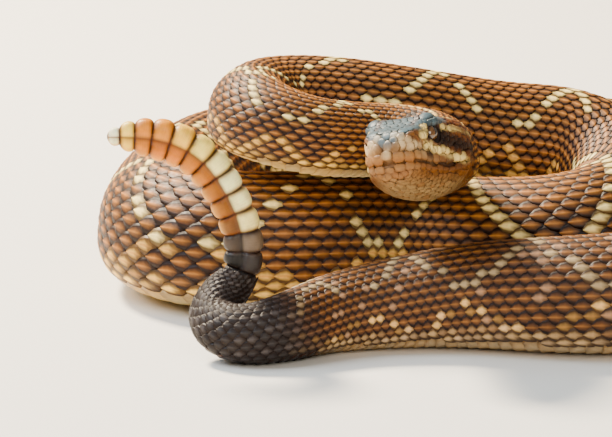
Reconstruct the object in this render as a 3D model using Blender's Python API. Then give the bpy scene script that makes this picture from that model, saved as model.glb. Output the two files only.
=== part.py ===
"""South American rattlesnake, Crotalus durissus, life size, coiled at rest with its rattle raised.

Named sizes are in millimetres and meshes in metres, +Z up, with the belly on z = 0.
The body is one lofted tube along the backbone, parted into lengths by thin cuts.
The head is modelled whole in its own axes and parted along the line of the mouth.
"""

import math

import bmesh
import bpy
import numpy as np
from mathutils import Matrix

MM = 0.001
GAP = 0.3
CENTRE = (46.3, 39.8)

# Where the backbone passes, from the nape to the tip of the rattle.
NECK_LOOP = [
    (36.4, -27.5, 50.3),
    (38.6, -19.0, 50.3),
    (34.6, -9.4, 50.6),
    (24.5, -5.6, 51.2),
    (12.5, -9.0, 52.3),
    (1.0, -12.5, 54.2),
    (-10.6, -7.9, 57.2),
    (-15.5, 4.0, 58.5),
    (-10.9, 15.4, 58.0),
    (1.3, 20.8, 56.8),
    (21.0, 23.0, 53.5),
]
INNER_BEND = [
    (42.0, 27.5, 48.5),
    (62.0, 31.0, 44.5),
    (79.0, 31.3, 41.9),
    (92.0, 21.9, 36.8),
    (95.2, 8.5, 32.8),
    (90.8, -2.6, 27.9),
    (77.9, -9.9, 23.6),
    (60.0, -7.6, 20.9),
]
MIDDLE_COIL = [
    (42.0, 1.5, 19.3),
    (18.0, 6.0, 19.2),
    (-8.0, 2.0, 19.4),
    (-27.5, 4.2, 19.6),
    (-39.0, 17.0, 19.8),
    (-41.3, 36.0, 19.8),
    (-38.0, 66.0, 19.8),
    (-28.0, 95.0, 19.8),
    (-4.0, 119.0, 19.8),
    (32.0, 129.0, 19.8),
]
OUTER_BEND = [
    (72.0, 125.0, 19.6),
    (107.0, 104.0, 19.0),
    (128.0, 68.0, 18.5),
    (134.5, 28.0, 17.5),
    (131.0, -15.0, 16.5),
    (109.0, -42.0, 15.5),
    (78.0, -48.5, 14.5),
]
TAIL_CURL = [
    (48.0, -42.5, 13.6),
    (21.0, -43.5, 11.3),
    (4.0, -50.5, 9.9),
    (-6.0, -58.5, 8.6),
    (-14.0, -62.6, 8.0),
    (-21.6, -61.6, 8.6),
    (-25.3, -56.2, 11.6),
    (-22.8, -51.6, 17.2),
]
RATTLE_RISE = [
    (-18.4, -50.0, 24.0),
    (-18.2, -50.0, 35.4),
    (-22.8, -50.0, 46.4),
    (-29.7, -50.0, 55.6),
    (-40.3, -50.0, 60.9),
    (-55.5, -50.0, 61.8),
]

# Half the body's width, by the distance from the root of the rattle.
GIRTH = [
    (0, 5.1), (10, 6.5), (20, 7.5), (38, 9.2), (55, 10.7), (75, 12.6), (100, 14.9),
    (170, 18.0), (260, 20.4), (380, 21.5), (520, 21.0), (640, 19.6), (740, 17.4),
    (800, 15.6), (845, 13.6), (872, 11.6), (895, 10.8),
]  # fmt: skip
RIDGE = 0.07
BELLY = 0.92
BELLY_POWER = 2.6
FLAT = 1.0

# Which way the back faces, by the distance past the root of the rattle. The nape leans with the head.
BACK_FACES = [
    (-934, (-0.195, 0.071, 0.978)),
    (-896, (0.0, 0.0, 1.0)),
    (-880, (0.0, 0.0, 1.0)),
    (-40, (0.0, 0.0, 1.0)),
    (-34, (0.0, 0.0, 1.0)),
    (-15, (0.55, -0.35, 0.65)),
    (0, (0.95, -0.25, 0.1)),
    (22, (0.78, 0.0, 0.6)),
    (44, (0.0, 0.0, 1.0)),
]

# Cuts through the body, as shares of the way from the nape to the root of the rattle.
BODY_CUTS = [0.052, 0.135, 0.205, 0.275, 0.375, 0.475, 0.575, 0.68, 0.785, 0.94]
BODY_SIDES = 20
RING_STEP = 0.5

SEGMENT_RINGS = 6
RATTLE_SIDES = 28
RATTLE_TALL = [5.5, 5.6, 5.7, 5.8, 5.9, 6.0, 6.1, 6.1, 6.0, 5.4, 4.3, 2.6]
RATTLE_PITCH = [5.2, 5.4, 5.6, 5.6, 5.5, 5.4, 5.4, 5.2, 5.0, 4.6, 4.0, 3.6]
RATTLE_THIN = 0.68
RATTLE_SQUARE = 2.5
RATTLE_GROOVE = 0.32
GROOVE_REACH = 0.24
RATTLE_WAIST = 0.36
WAIST_POWER = 3.4

# The head in its own axes: x forward from the nape, y to its left, z up.
HEAD_YAW = -20.0
HEAD_PITCH = 13.0
HEAD_ROLL = 12.0
HEAD_LENGTH = 42.0
HEAD_WIDTH = [(0, 10.7), (4, 12.5), (9, 14.4), (13, 14.7), (20, 12.9), (28, 10.2), (33, 8.8), (38, 7.6)]
HEAD_CROWN = [
    (0, 11.2), (8, 11.4), (15, 11.4), (22, 11.2), (27, 10.6), (30, 9.4), (33, 8.2), (37, 7.3), (42, 6.7),
]  # fmt: skip
HEAD_THROAT = [(0, -9.9), (6, -10.9), (13, -11.6), (21, -11.0), (30, -9.4), (37, -7.9), (42, -6.6)]
MOUTH_LINE = [(4, 1.4), (8, 0.6), (13, -1.6), (19, -3.2), (27, -3.4), (35, -2.7), (43, -2.3)]
HEAD_SQUARE = [(0, 2.0), (8, 2.8), (16, 3.4), (26, 4.2), (36, 4.6), (49, 4.0)]
JAW_ROUND = [(0, 1.0), (10, 1.1), (30, 1.0), (49, 0.85)]
WIDEST_UP = 1.5
SNOUT_ROUND = 4.8
CROWN_ROUND = 0.55
THROAT_ROUND = 0.8
JAW_HINGE = 5.0
NAPE_REACH = 13.0
HEAD_SIDES = 32
HEAD_RINGS = 26
LIP_GROOVE = 0.5
LIP_FULL = 0.35
LIP_REACH = 1.2
BROW = dict(x=26.8, y=7.1, long=4.6, wide=2.3, up=1.8, out=1.2)
EYE = dict(x=27.6, y=8.1, z=5.4, radius=2.5)
PIT = dict(x=34.4, y=8.4, z=2.4, radius=1.2)
NOSTRIL = dict(x=39.2, y=6.1, z=4.0, radius=0.8)


def smooth(pairs, at):
    """A smooth curve through (place, value) pairs, read at one or many places."""
    places = np.array([place for place, _ in pairs], float)
    values = np.array([value for _, value in pairs], float)
    values = values.reshape(len(pairs), -1)
    slopes = np.gradient(values, places, axis=0)
    at = np.clip(np.asarray(at, float), places[0], places[-1])
    k = np.clip(np.searchsorted(places, at, side="right") - 1, 0, len(places) - 2)
    span = (places[k + 1] - places[k])[..., None]
    t = (at - places[k])[..., None] / span
    start = (2 * t**3 - 3 * t**2 + 1) * values[k] + (t**3 - 2 * t**2 + t) * span * slopes[k]
    end = (3 * t**2 - 2 * t**3) * values[k + 1] + (t**3 - t**2) * span * slopes[k + 1]
    found = start + end
    return found[..., 0] if found.shape[-1] == 1 else found


def unit(vectors):
    """The same vectors with a length of one."""
    return vectors / np.linalg.norm(vectors, axis=-1, keepdims=True)


class Backbone:
    """A cubic spline through the stations, read by distance from the nape."""

    FINE = 6000

    def __init__(self, stations, rattle_root, start_way):
        points = np.array(stations, float) - [*CENTRE, 0.0]
        chord = np.concatenate([[0], np.cumsum(np.linalg.norm(np.diff(points, axis=0), axis=1))])
        steps = np.diff(chord)
        count = len(points)
        system = np.eye(count)
        right = np.zeros((count, 3))
        slopes = np.diff(points, axis=0) / steps[:, None]
        system[0, :2] = 2 * steps[0], steps[0]
        right[0] = 3 * (slopes[0] - start_way)
        for i in range(1, count - 1):
            system[i, i - 1 : i + 2] = steps[i - 1], 2 * (steps[i - 1] + steps[i]), steps[i]
            right[i] = 3 * (slopes[i] - slopes[i - 1])
        bend = np.linalg.solve(system, right)
        twist = np.diff(bend, axis=0) / (3 * steps[:, None])
        run = slopes - steps[:, None] * (2 * bend[:-1] + bend[1:]) / 3
        u = np.linspace(0, chord[-1], self.FINE)
        k = np.clip(np.searchsorted(chord, u, side="right") - 1, 0, count - 2)
        t = (u - chord[k])[:, None]
        self.points = points[k] + run[k] * t + bend[k] * t**2 + twist[k] * t**3
        self.ways = unit(run[k] + 2 * bend[k] * t + 3 * twist[k] * t**2)
        moved = np.linalg.norm(np.diff(self.points, axis=0), axis=1)
        self.along = np.concatenate([[0], np.cumsum(moved)])
        self.root = float(np.interp(chord[rattle_root], u, self.along))
        self.length = float(self.along[-1])
        on_floor = BELLY * self.half_width(self.along)
        low = self.along < self.root
        self.points[low, 2] = np.maximum(self.points[low, 2], on_floor[low])

    def half_width(self, s):
        return smooth(GIRTH, self.root - np.asarray(s, float))

    def read(self, table, s):
        return np.stack([np.interp(s, self.along, table[:, i]) for i in range(3)], -1)

    def at(self, s):
        return self.read(self.points, s)

    def frames(self, s):
        """Place, way along, way to the left and way of the back, at each distance."""
        along = unit(self.read(self.ways, s))
        back = smooth(BACK_FACES, s - self.root)
        back = unit(back - (back * along).sum(-1, keepdims=True) * along)
        return self.at(s), along, np.cross(along, back), back


def body_section(sides):
    """Across and up, for a half-width of one: a low ridge on the back and a flattened belly."""
    turn = np.linspace(0, 2 * np.pi, sides, endpoint=False)
    across, up = np.sin(turn), np.cos(turn)
    ridge = RIDGE * np.exp(-((np.minimum(turn, 2 * np.pi - turn) / 0.5) ** 2))
    flat = 1 - (1 - BELLY) * np.clip(-up, 0, 1) ** BELLY_POWER
    squared = 1 + 0.1 * np.clip(-up, 0, 1) * np.abs(across) * 2
    return across * squared, np.where(up > 0, up + ridge, up * flat)


def rattle_section(sides):
    """Across and up, for a half-height of one: two lobes, above and below a groove on each side."""
    turn = np.linspace(0, 2 * np.pi, sides, endpoint=False)
    side, rise = np.sin(turn), np.cos(turn)
    across = np.sign(side) * np.abs(side) ** (2 / RATTLE_SQUARE)
    up = np.sign(rise) * np.abs(rise) ** (2 / RATTLE_SQUARE)
    groove = 1 - RATTLE_GROOVE * np.exp(-((up / GROOVE_REACH) ** 2))
    return RATTLE_THIN * across * groove, up


def loft(rings, name, tip=None):
    """A closed mesh over rings of points, capped at both ends, or drawn to a point at the last."""
    bm = bmesh.new()
    rows = [[bm.verts.new(point * MM) for point in ring] for ring in rings]
    sides = len(rows[0])
    for before, after in zip(rows[:-1], rows[1:]):
        for i in range(sides):
            j = (i + 1) % sides
            bm.faces.new((before[i], before[j], after[j], after[i]))
    bm.faces.new(rows[0][::-1])
    if tip is None:
        bm.faces.new(rows[-1])
    else:
        point = bm.verts.new(tip * MM)
        for i in range(sides):
            bm.faces.new((rows[-1][i], rows[-1][(i + 1) % sides], point))
    bmesh.ops.recalc_face_normals(bm, faces=bm.faces)
    mesh = bpy.data.meshes.new(name)
    bm.to_mesh(mesh)
    bm.free()
    mesh.shade_smooth()
    return mesh


def material(name, colour, roughness):
    finish = bpy.data.materials.new(name)
    finish.use_nodes = True
    shader = finish.node_tree.nodes["Principled BSDF"]
    shader.inputs["Base Color"].default_value = (*colour, 1.0)
    shader.inputs["Roughness"].default_value = roughness
    shader.inputs["Metallic"].default_value = 0.0
    return finish


def collection(name):
    made = bpy.data.collections.new(name)
    bpy.context.scene.collection.children.link(made)
    return made


def place(name, mesh, finish, group):
    piece = bpy.data.objects.new(name, mesh)
    if finish is not None:
        mesh.materials.append(finish)
    group.objects.link(piece)
    return piece


def cutter(name, mesh, group):
    """A shape that only cuts: it is left out of the model."""
    piece = place(name, mesh, None, group)
    piece.hide_render = True
    piece.display_type = "WIRE"
    return piece


def cut(piece, operation, by, name):
    """One exact Boolean, by an object or by all of a collection."""
    step = piece.modifiers.new(name, "BOOLEAN")
    step.operation = operation
    step.solver = "EXACT"
    if isinstance(by, bpy.types.Collection):
        step.operand_type = "COLLECTION"
        step.collection = by
    else:
        step.object = by


def body_length(name, path, start, end):
    """One length of the body between two cuts, its belly laid flat where it meets the floor."""
    middle = path.half_width(np.linspace(start, end, 9)).mean()
    count = max(3, math.ceil((end - start) / (RING_STEP * middle)) + 1)
    s = np.linspace(start, end, count)
    places, along, left, back = path.frames(s)
    places[0] += along[0] * GAP / 2
    places[-1] -= along[-1] * GAP / 2
    across, up = body_section(BODY_SIDES)
    width = path.half_width(s)[:, None, None]
    rings = places[:, None] + width * (across[:, None] * left[:, None] + up[:, None] * back[:, None])
    rings[..., 2] = np.where(rings[..., 2] < FLAT, 0.0, rings[..., 2])
    return loft(rings, name)


def rattle(name, path):
    """All the rattle's segments in one closed body, each a bulge between two waists."""
    ends = np.concatenate([[0], np.cumsum(RATTLE_PITCH)])
    ends = ends / ends[-1] * (path.length - path.root)
    share = np.linspace(0, 1, SEGMENT_RINGS, endpoint=False)
    s = (ends[:-1, None] + share * np.diff(ends)[:, None]).ravel()
    bulge = 1 - RATTLE_WAIST * np.abs(2 * share - 1) ** WAIST_POWER
    tall = (np.array(RATTLE_TALL)[:, None] * bulge).ravel()
    s = np.append(s, ends[-1]) + path.root
    tall = np.append(tall, tall[-1] * (1 - RATTLE_WAIST))
    places, along, left, back = path.frames(s)
    places[0] += along[0] * GAP / 2
    across, up = rattle_section(RATTLE_SIDES)
    size = tall[:, None, None]
    rings = places[:, None] + size * (across[:, None] * left[:, None] + up[:, None] * back[:, None])
    return loft(rings, name)


def bump(x, y, spot, reach_x, reach_y):
    """A rounded rise round a spot of the head, the same on both sides."""
    return np.exp(-(((x - spot["x"]) / reach_x) ** 2) - ((np.abs(y) - spot["y"]) / reach_y) ** 2)


def head_rings():
    """Sections of the whole head from the nape to the snout, in the head's own axes."""
    t = np.linspace(0, 1, HEAD_RINGS + 1)[:-1]
    x = HEAD_LENGTH * np.sin(t * np.pi / 2) ** 1.15
    round_off = np.clip((x - (HEAD_LENGTH - SNOUT_ROUND)) / SNOUT_ROUND, 0, 1)
    end_on = (1 - round_off**2.4) ** 0.5
    width = smooth(HEAD_WIDTH, x) * end_on
    lip = smooth(MOUTH_LINE, x)
    middle = lip + WIDEST_UP
    crown = middle + (smooth(HEAD_CROWN, x) - middle) * end_on**CROWN_ROUND
    throat = middle + (smooth(HEAD_THROAT, x) - middle) * end_on**THROAT_ROUND
    turn = np.linspace(0, 2 * np.pi, HEAD_SIDES, endpoint=False)
    side, rise = np.sin(turn), np.cos(turn)
    square = smooth(HEAD_SQUARE, x)[:, None]
    round_under = smooth(JAW_ROUND, x)[:, None]
    across = np.where(rise > 0, np.abs(side) ** (2 / square), np.abs(side) ** round_under)
    above = np.clip(rise, 0, None) ** (2 / square) * (crown - middle)[:, None]
    below = np.clip(-rise, 0, None) * (throat - middle)[:, None]
    y = width[:, None] * np.sign(side) * across
    z = middle[:, None] + np.where(rise > 0, above, below)
    fade = np.clip(1 - x / NAPE_REACH, 0, 1)[:, None]
    height = z * math.cos(math.radians(HEAD_ROLL)) + y * math.sin(math.radians(HEAD_ROLL))
    x = x[:, None] + height * math.tan(math.radians(HEAD_PITCH)) * fade
    return lips_and_brows(x, y, z, lip[:, None])


def lips_and_brows(x, y, z, lip):
    """Draws the skin in along the mouth, fills the lips beside it, and raises the brow plates."""
    off = z - lip
    front = np.clip((x - 8) / 6, 0, 1)
    groove = LIP_GROOVE * np.exp(-((off / (0.7 * LIP_REACH)) ** 2))
    full = LIP_FULL * np.exp(-(((np.abs(off) - 1.6 * LIP_REACH) / LIP_REACH) ** 2))
    y = y + np.sign(y) * (full - groove) * front * np.clip(np.abs(y) / 3, 0, 1)
    brow = bump(x, y, BROW, BROW["long"], BROW["wide"]) * np.clip(z / 4, 0, 1)
    z = z + BROW["up"] * brow
    y = y + np.sign(y) * BROW["out"] * brow
    return np.stack([x, y, z], -1)


def ball(name, spot, side, grow=0.0, fine=2):
    """A ball at a named spot of the head, on one side, in the head's own axes."""
    bm = bmesh.new()
    bmesh.ops.create_icosphere(bm, subdivisions=fine, radius=(spot["radius"] + grow) * MM)
    where = Matrix.Translation((spot["x"] * MM, side * spot["y"] * MM, spot["z"] * MM))
    bm.transform(where)
    mesh = bpy.data.meshes.new(name)
    bm.to_mesh(mesh)
    bm.free()
    mesh.shade_smooth()
    return mesh


def below_mouth(name, lift, back):
    """A block that takes in all below the mouth line and ahead of the jaw's hinge."""
    x = np.linspace(JAW_HINGE + back, HEAD_LENGTH + 4, 16)
    line = np.stack([x, smooth(MOUTH_LINE, x) + lift], -1)
    outline = np.concatenate([line, [[HEAD_LENGTH + 4, -20.0], [JAW_HINGE + back, -20.0]]])
    half = 30.0
    sides = [np.insert(outline, 1, y, axis=1) for y in (-half, half)]
    return loft(np.array(sides), name)


def head_way():
    """Forward along the neck where the head joins it: level, and turned by the head's yaw."""
    yaw = math.radians(HEAD_YAW)
    return np.array([math.sin(yaw), -math.cos(yaw), 0.0])


def head_axes(path):
    """The head's own axes in the world: the way of the neck, the snout raised and the left side up."""
    place = Matrix.Translation(path.at(0.0) * MM)
    turn = Matrix.Rotation(math.radians(HEAD_YAW - 90), 4, "Z")
    lift = Matrix.Rotation(math.radians(-HEAD_PITCH), 4, "Y")
    lean = Matrix.Rotation(math.radians(HEAD_ROLL), 4, "X")
    return place @ turn @ lift @ lean


def build_head(path, model, helpers, finishes):
    """The upper head, the lower jaw and the eyes, parted along the mouth and round each eye."""
    world = head_axes(path)
    rings = head_rings()
    rings[0, :, 0] += GAP / 2
    tip = np.array([HEAD_LENGTH, 0.0, float(smooth(MOUTH_LINE, HEAD_LENGTH)) + WIDEST_UP])
    hollows = bpy.data.collections.new("head hollows")
    helpers.children.link(hollows)
    head = place("head", loft(rings, "head", tip), finishes["brown"], model)
    jaw = place("lower_jaw", loft(rings, "lower_jaw", tip), finishes["throat"], model)
    for side, word in ((1, "left"), (-1, "right")):
        place(f"eye_{word}", ball(f"eye_{word}", EYE, side), finishes["eye"], model)
        cutter(f"socket_{word}", ball(f"socket_{word}", EYE, side, GAP), hollows)
        cutter(f"pit_{word}", ball(f"pit_{word}", PIT, side, fine=1), hollows)
        cutter(f"nostril_{word}", ball(f"nostril_{word}", NOSTRIL, side, fine=1), hollows)
    above = cutter("below_mouth_wide", below_mouth("below_mouth_wide", GAP / 2, -GAP / 2), helpers)
    below = cutter("below_mouth", below_mouth("below_mouth", -GAP / 2, GAP / 2), helpers)
    cut(head, "DIFFERENCE", above, "mouth")
    cut(head, "DIFFERENCE", hollows, "eyes, pits and nostrils")
    cut(jaw, "INTERSECT", below, "mouth")
    for piece in (*model.objects, *helpers.objects, *hollows.objects):
        piece.matrix_world = world


def build_body(path, model, finishes):
    """The neck, the lengths of the body and the tail, from the nape to the root of the rattle."""
    cuts = [share * path.root for share in (0, *BODY_CUTS, 1)]
    names = ["neck", *(f"body_{i + 1}" for i in range(len(BODY_CUTS) - 1)), "tail"]
    for name, start, end in zip(names, cuts[:-1], cuts[1:]):
        finish = finishes["charcoal" if name == "tail" else "brown"]
        place(name, body_length(name, path, start, end), finish, model)
    place("rattle", rattle("rattle", path), finishes["horn"], model)


def main():
    for piece in list(bpy.data.objects):
        bpy.data.objects.remove(piece)
    stations = [*NECK_LOOP, *INNER_BEND, *MIDDLE_COIL, *OUTER_BEND, *TAIL_CURL, *RATTLE_RISE]
    path = Backbone(stations, len(stations) - len(RATTLE_RISE), -head_way())
    model = collection("South American rattlesnake")
    helpers = collection("cutters")
    finishes = {
        "brown": material("brown scales", (0.16, 0.085, 0.05), 0.5),
        "throat": material("buff throat", (0.55, 0.4, 0.26), 0.5),
        "charcoal": material("charcoal tail", (0.03, 0.03, 0.035), 0.6),
        "horn": material("rattle horn", (0.75, 0.45, 0.18), 0.35),
        "eye": material("eye", (0.05, 0.035, 0.02), 0.1),
    }
    build_head(path, model, helpers, finishes)
    build_body(path, model, finishes)


if __name__ == "__main__":
    main()
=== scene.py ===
"""South American rattlesnake, Crotalus durissus: its finished surfaces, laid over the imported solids.

Shapes are worked out in millimetres on numpy grids and put into meshes in metres, +Z up.
The hide is one grid from the snout to the root of the rattle. A place on it has an axis value,
which is minus the distance ahead of the nape on the head and the distance behind it on the body,
and a share of the way round, which is 0 on the spine, positive on the left and 0.5 under the belly.
Scales, scutes and plates are small closed meshes that lie on that grid and overlap towards the tail.
"""

import logging
import math
from collections.abc import Callable
from dataclasses import dataclass
from enum import Enum

import bpy
import numpy as np
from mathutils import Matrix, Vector


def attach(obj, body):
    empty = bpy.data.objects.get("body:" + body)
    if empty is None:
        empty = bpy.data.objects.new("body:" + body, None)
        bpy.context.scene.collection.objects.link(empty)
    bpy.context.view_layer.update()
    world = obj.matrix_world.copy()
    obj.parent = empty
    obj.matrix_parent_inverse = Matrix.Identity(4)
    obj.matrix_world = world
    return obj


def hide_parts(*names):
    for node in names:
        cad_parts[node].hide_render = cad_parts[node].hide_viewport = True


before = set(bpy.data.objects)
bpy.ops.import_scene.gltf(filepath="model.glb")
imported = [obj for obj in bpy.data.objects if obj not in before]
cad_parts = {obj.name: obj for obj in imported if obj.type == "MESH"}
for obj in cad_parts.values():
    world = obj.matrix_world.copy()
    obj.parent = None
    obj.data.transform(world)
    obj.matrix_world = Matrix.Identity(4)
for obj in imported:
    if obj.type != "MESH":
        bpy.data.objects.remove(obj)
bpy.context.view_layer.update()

Array = np.ndarray
Band = tuple[float, float]
Pairs = tuple[Band, ...]
Point = tuple[float, float, float]
Material = bpy.types.Material
Socket = bpy.types.NodeSocket

# A millimetre in metres, and a whole turn in degrees.
MM = 0.001
FULL_TURN = 360.0
LOG = logging.getLogger("rattlesnake")


class Slot(Enum):
    """The record's material slots."""

    SKIN = "skin_brown"
    THROAT = "throat"
    HORN = "horn"
    EYE = "eye"


class Side(Enum):
    """The two sides of the head, as the sign of the head's own y axis."""

    LEFT = 1
    RIGHT = -1


def smooth(pairs: Pairs, at: Array) -> Array:
    """A cubic Hermite curve through (place, value) pairs, with the slopes of their neighbours.

    Args:
        pairs: places in rising order with a number or a vector each.
        at: the places to read, held within the first and last.

    Returns:
        The value at each place, with the vector's numbers as the last axis.
    """
    places = np.array([place for place, _ in pairs], float)
    values = np.array([value for _, value in pairs], float).reshape(len(pairs), -1)
    slopes = np.gradient(values, places, axis=0)
    at = np.clip(np.asarray(at, float), places[0], places[-1])
    k = np.clip(np.searchsorted(places, at, side="right") - 1, 0, len(places) - 2)
    span = (places[k + 1] - places[k])[..., None]
    t = (at - places[k])[..., None] / span
    start = (2 * t**3 - 3 * t**2 + 1) * values[k] + (t**3 - 2 * t**2 + t) * span * slopes[k]
    end = (3 * t**2 - 2 * t**3) * values[k + 1] + (t**3 - t**2) * span * slopes[k + 1]
    found = start + end
    return found[..., 0] if found.shape[-1] == 1 else found


def unit(vectors: Array) -> Array:
    """The same vectors with a length of one."""
    return vectors / np.maximum(np.linalg.norm(vectors, axis=-1, keepdims=True), 1e-12)


def bell(x: Array, width: float) -> Array:
    """One at zero, falling to 1/e at the width: exp(-(x/width)^2)."""
    return np.exp(-((x / width) ** 2))


def rise(x: Array, low: float, high: float) -> Array:
    """From 0 at low to 1 at high along 3t^2 - 2t^3."""
    t = np.clip((np.asarray(x, float) - low) / (high - low), 0, 1)
    return t * t * (3 - 2 * t)


def mix(first: Array, second: Array, share: Array) -> Array:
    """Colours between two, by a share for each: first + share * (second - first)."""
    return first + np.asarray(share, float)[..., None] * (np.asarray(second, float) - first)


def shade(code: str) -> Point:
    """The linear colour of a six-digit screen colour: each channel c becomes ((c + 0.055) / 1.055)^2.4."""
    screen = np.array([int(code[i : i + 2], 16) for i in (0, 2, 4)]) / 255
    return tuple(np.where(screen <= 0.04045, screen / 12.92, ((screen + 0.055) / 1.055) ** 2.4).tolist())


def spread(colour: Point, shape: tuple[int, ...]) -> Array:
    """One colour at every place of a grid."""
    return np.broadcast_to(colour, (*shape, 3))


def washed(tint: Array, *washes: tuple[Point, Array]) -> Array:
    """Colours with washes of others over them, each laid by its own share over all before it."""
    for colour, share in washes:
        tint = mix(tint, colour, share)
    return tint


def walk(points: Array) -> Array:
    """The distance to each point along its line: the running sum of the steps between points."""
    steps = np.linalg.norm(np.diff(points, axis=-2), axis=-1)
    return np.concatenate([np.zeros((*steps.shape[:-1], 1)), np.cumsum(steps, axis=-1)], axis=-1)


def follow(line: Array, walked: Array, at: Array) -> Array:
    """The places on a line at given distances, straight between its points."""
    return np.stack([np.interp(at, walked, axis) for axis in line.T], -1)


def rotation(axis: int, degrees: float) -> Array:
    """The matrix of a turn about one axis, with the angle's cosine and sine on the other two."""
    first, second = (axis + 1) % 3, (axis + 2) % 3
    cosine, sine = math.cos(math.radians(degrees)), math.sin(math.radians(degrees))
    matrix = np.eye(3)
    matrix[first, first], matrix[second, second] = cosine, cosine
    matrix[first, second], matrix[second, first] = -sine, sine
    return matrix


def mirrored(q: Array) -> Array:
    """Points in the head's axes, moved to the left side where they are on the right."""
    return np.stack([q[..., 0], np.abs(q[..., 1]), q[..., 2]], -1)


def placed(name: str, data: bpy.types.ID) -> bpy.types.Object:
    """A new object of some data, in the scene."""
    piece = bpy.data.objects.new(name, data)
    bpy.context.scene.collection.objects.link(piece)
    return piece


def tube_faces(rings: int, sides: int) -> list[Array]:
    """The faces of a row of rings, closed by a point at each end that comes after all the rings.

    They look outward where the way round crossed with the way along does.

    Args:
        rings: how many rings there are.
        sides: how many points each ring has.

    Returns:
        Squares between rings, triangles to the first end's point and triangles to the last end's.
    """
    number = np.arange((rings - 1) * sides)
    after = number - number % sides + (number + 1) % sides
    squares = np.stack([number, after, after + sides, number + sides], -1)
    here, beyond = number[:sides], after[:sides]
    last = (rings - 1) * sides
    front = np.stack([np.full(sides, rings * sides), beyond, here], -1)
    back = np.stack([last + here, last + beyond, np.full(sides, rings * sides + 1)], -1)
    return [squares, front, back]


@dataclass(frozen=True)
class Pose:
    """Where the backbone passes, from the nape to the tip of the rattle."""

    centre: tuple[float, float] = (46.3, 39.8)
    neck_loop: tuple[Point, ...] = (
        (36.4, -27.5, 50.3), (38.6, -19, 50.3), (34.6, -9.4, 50.6), (24.5, -5.6, 51.2),
        (12.5, -9, 52.3), (1, -12.5, 54.2), (-10.6, -7.9, 57.2), (-15.5, 4, 58.5),
        (-10.9, 15.4, 58), (1.3, 20.8, 56.8), (21, 23, 53.5),
    )
    inner_bend: tuple[Point, ...] = (
        (42, 27.5, 48.5), (62, 31, 44.5), (79, 31.3, 41.9), (92, 21.9, 36.8),
        (95.2, 8.5, 32.8), (90.8, -2.6, 27.9), (77.9, -9.9, 23.6), (60, -7.6, 20.9),
    )
    middle_coil: tuple[Point, ...] = (
        (42, 1.5, 19.3), (18, 6, 19.2), (-8, 2, 19.4), (-27.5, 4.2, 19.6),
        (-39, 17, 19.8), (-41.3, 36, 19.8), (-38, 66, 19.8), (-28, 95, 19.8),
        (-4, 119, 19.8), (32, 129, 19.8),
    )
    outer_bend: tuple[Point, ...] = (
        (72, 125, 19.6), (107, 104, 19), (128, 68, 18.5), (134.5, 28, 17.5),
        (131, -15, 16.5), (109, -42, 15.5), (78, -48.5, 14.5),
    )
    tail_curl: tuple[Point, ...] = (
        (48, -42.5, 13.6), (21, -43.5, 11.3), (4, -50.5, 9.9), (-6, -58.5, 8.6),
        (-14, -62.6, 8), (-21.6, -61.6, 8.6), (-25.3, -56.2, 11.6), (-22.8, -51.6, 17.2),
    )
    rattle_rise: tuple[Point, ...] = (
        (-18.4, -50, 24), (-18.2, -50, 35.4), (-22.8, -50, 46.4), (-29.7, -50, 55.6),
        (-40.3, -50, 60.9), (-55.5, -50, 61.8),
    )

    def body(self) -> list[Point]:
        """The stations ahead of the rattle."""
        return [*self.neck_loop, *self.inner_bend, *self.middle_coil, *self.outer_bend, *self.tail_curl]

    def stations(self) -> Array:
        """All the stations, with the coil's centre moved to the origin."""
        return np.array([*self.body(), *self.rattle_rise], float) - [*self.centre, 0.0]


@dataclass(frozen=True)
class Girth:
    """The body's cross-section: half its width by the distance from the root of the rattle."""

    half_widths: Pairs = (
        (0, 5.1), (10, 6.5), (20, 7.5), (38, 9.2), (55, 10.7), (75, 12.6), (100, 14.9),
        (170, 18.0), (260, 20.4), (380, 21.5), (520, 21.0), (640, 19.6), (740, 17.4),
        (800, 15.6), (845, 13.6), (872, 11.6), (895, 10.8),
    )
    ridge: float = 0.07
    ridge_reach: float = 0.5
    belly: float = 0.92
    belly_power: float = 2.6
    flank: float = 0.2

    def section(self, turn: Array) -> tuple[Array, Array]:
        """Across and up for a half-width of one: a circle with a ridge on top and a flattened belly.

        Args:
            turn: the angle from the spine, in radians, from 0 to pi.

        Returns:
            Across, sin(turn) widened on the lower flank, and up, cos(turn) plus the ridge or flattened.
        """
        low = np.clip(-np.cos(turn), 0, 1)
        across = np.sin(turn) * (1 + self.flank * low * np.sin(turn))
        ridge = self.ridge * bell(turn, self.ridge_reach)
        flat = 1 - (1 - self.belly) * low**self.belly_power
        return across, np.where(np.cos(turn) > 0, np.cos(turn) + ridge, np.cos(turn) * flat)


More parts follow.
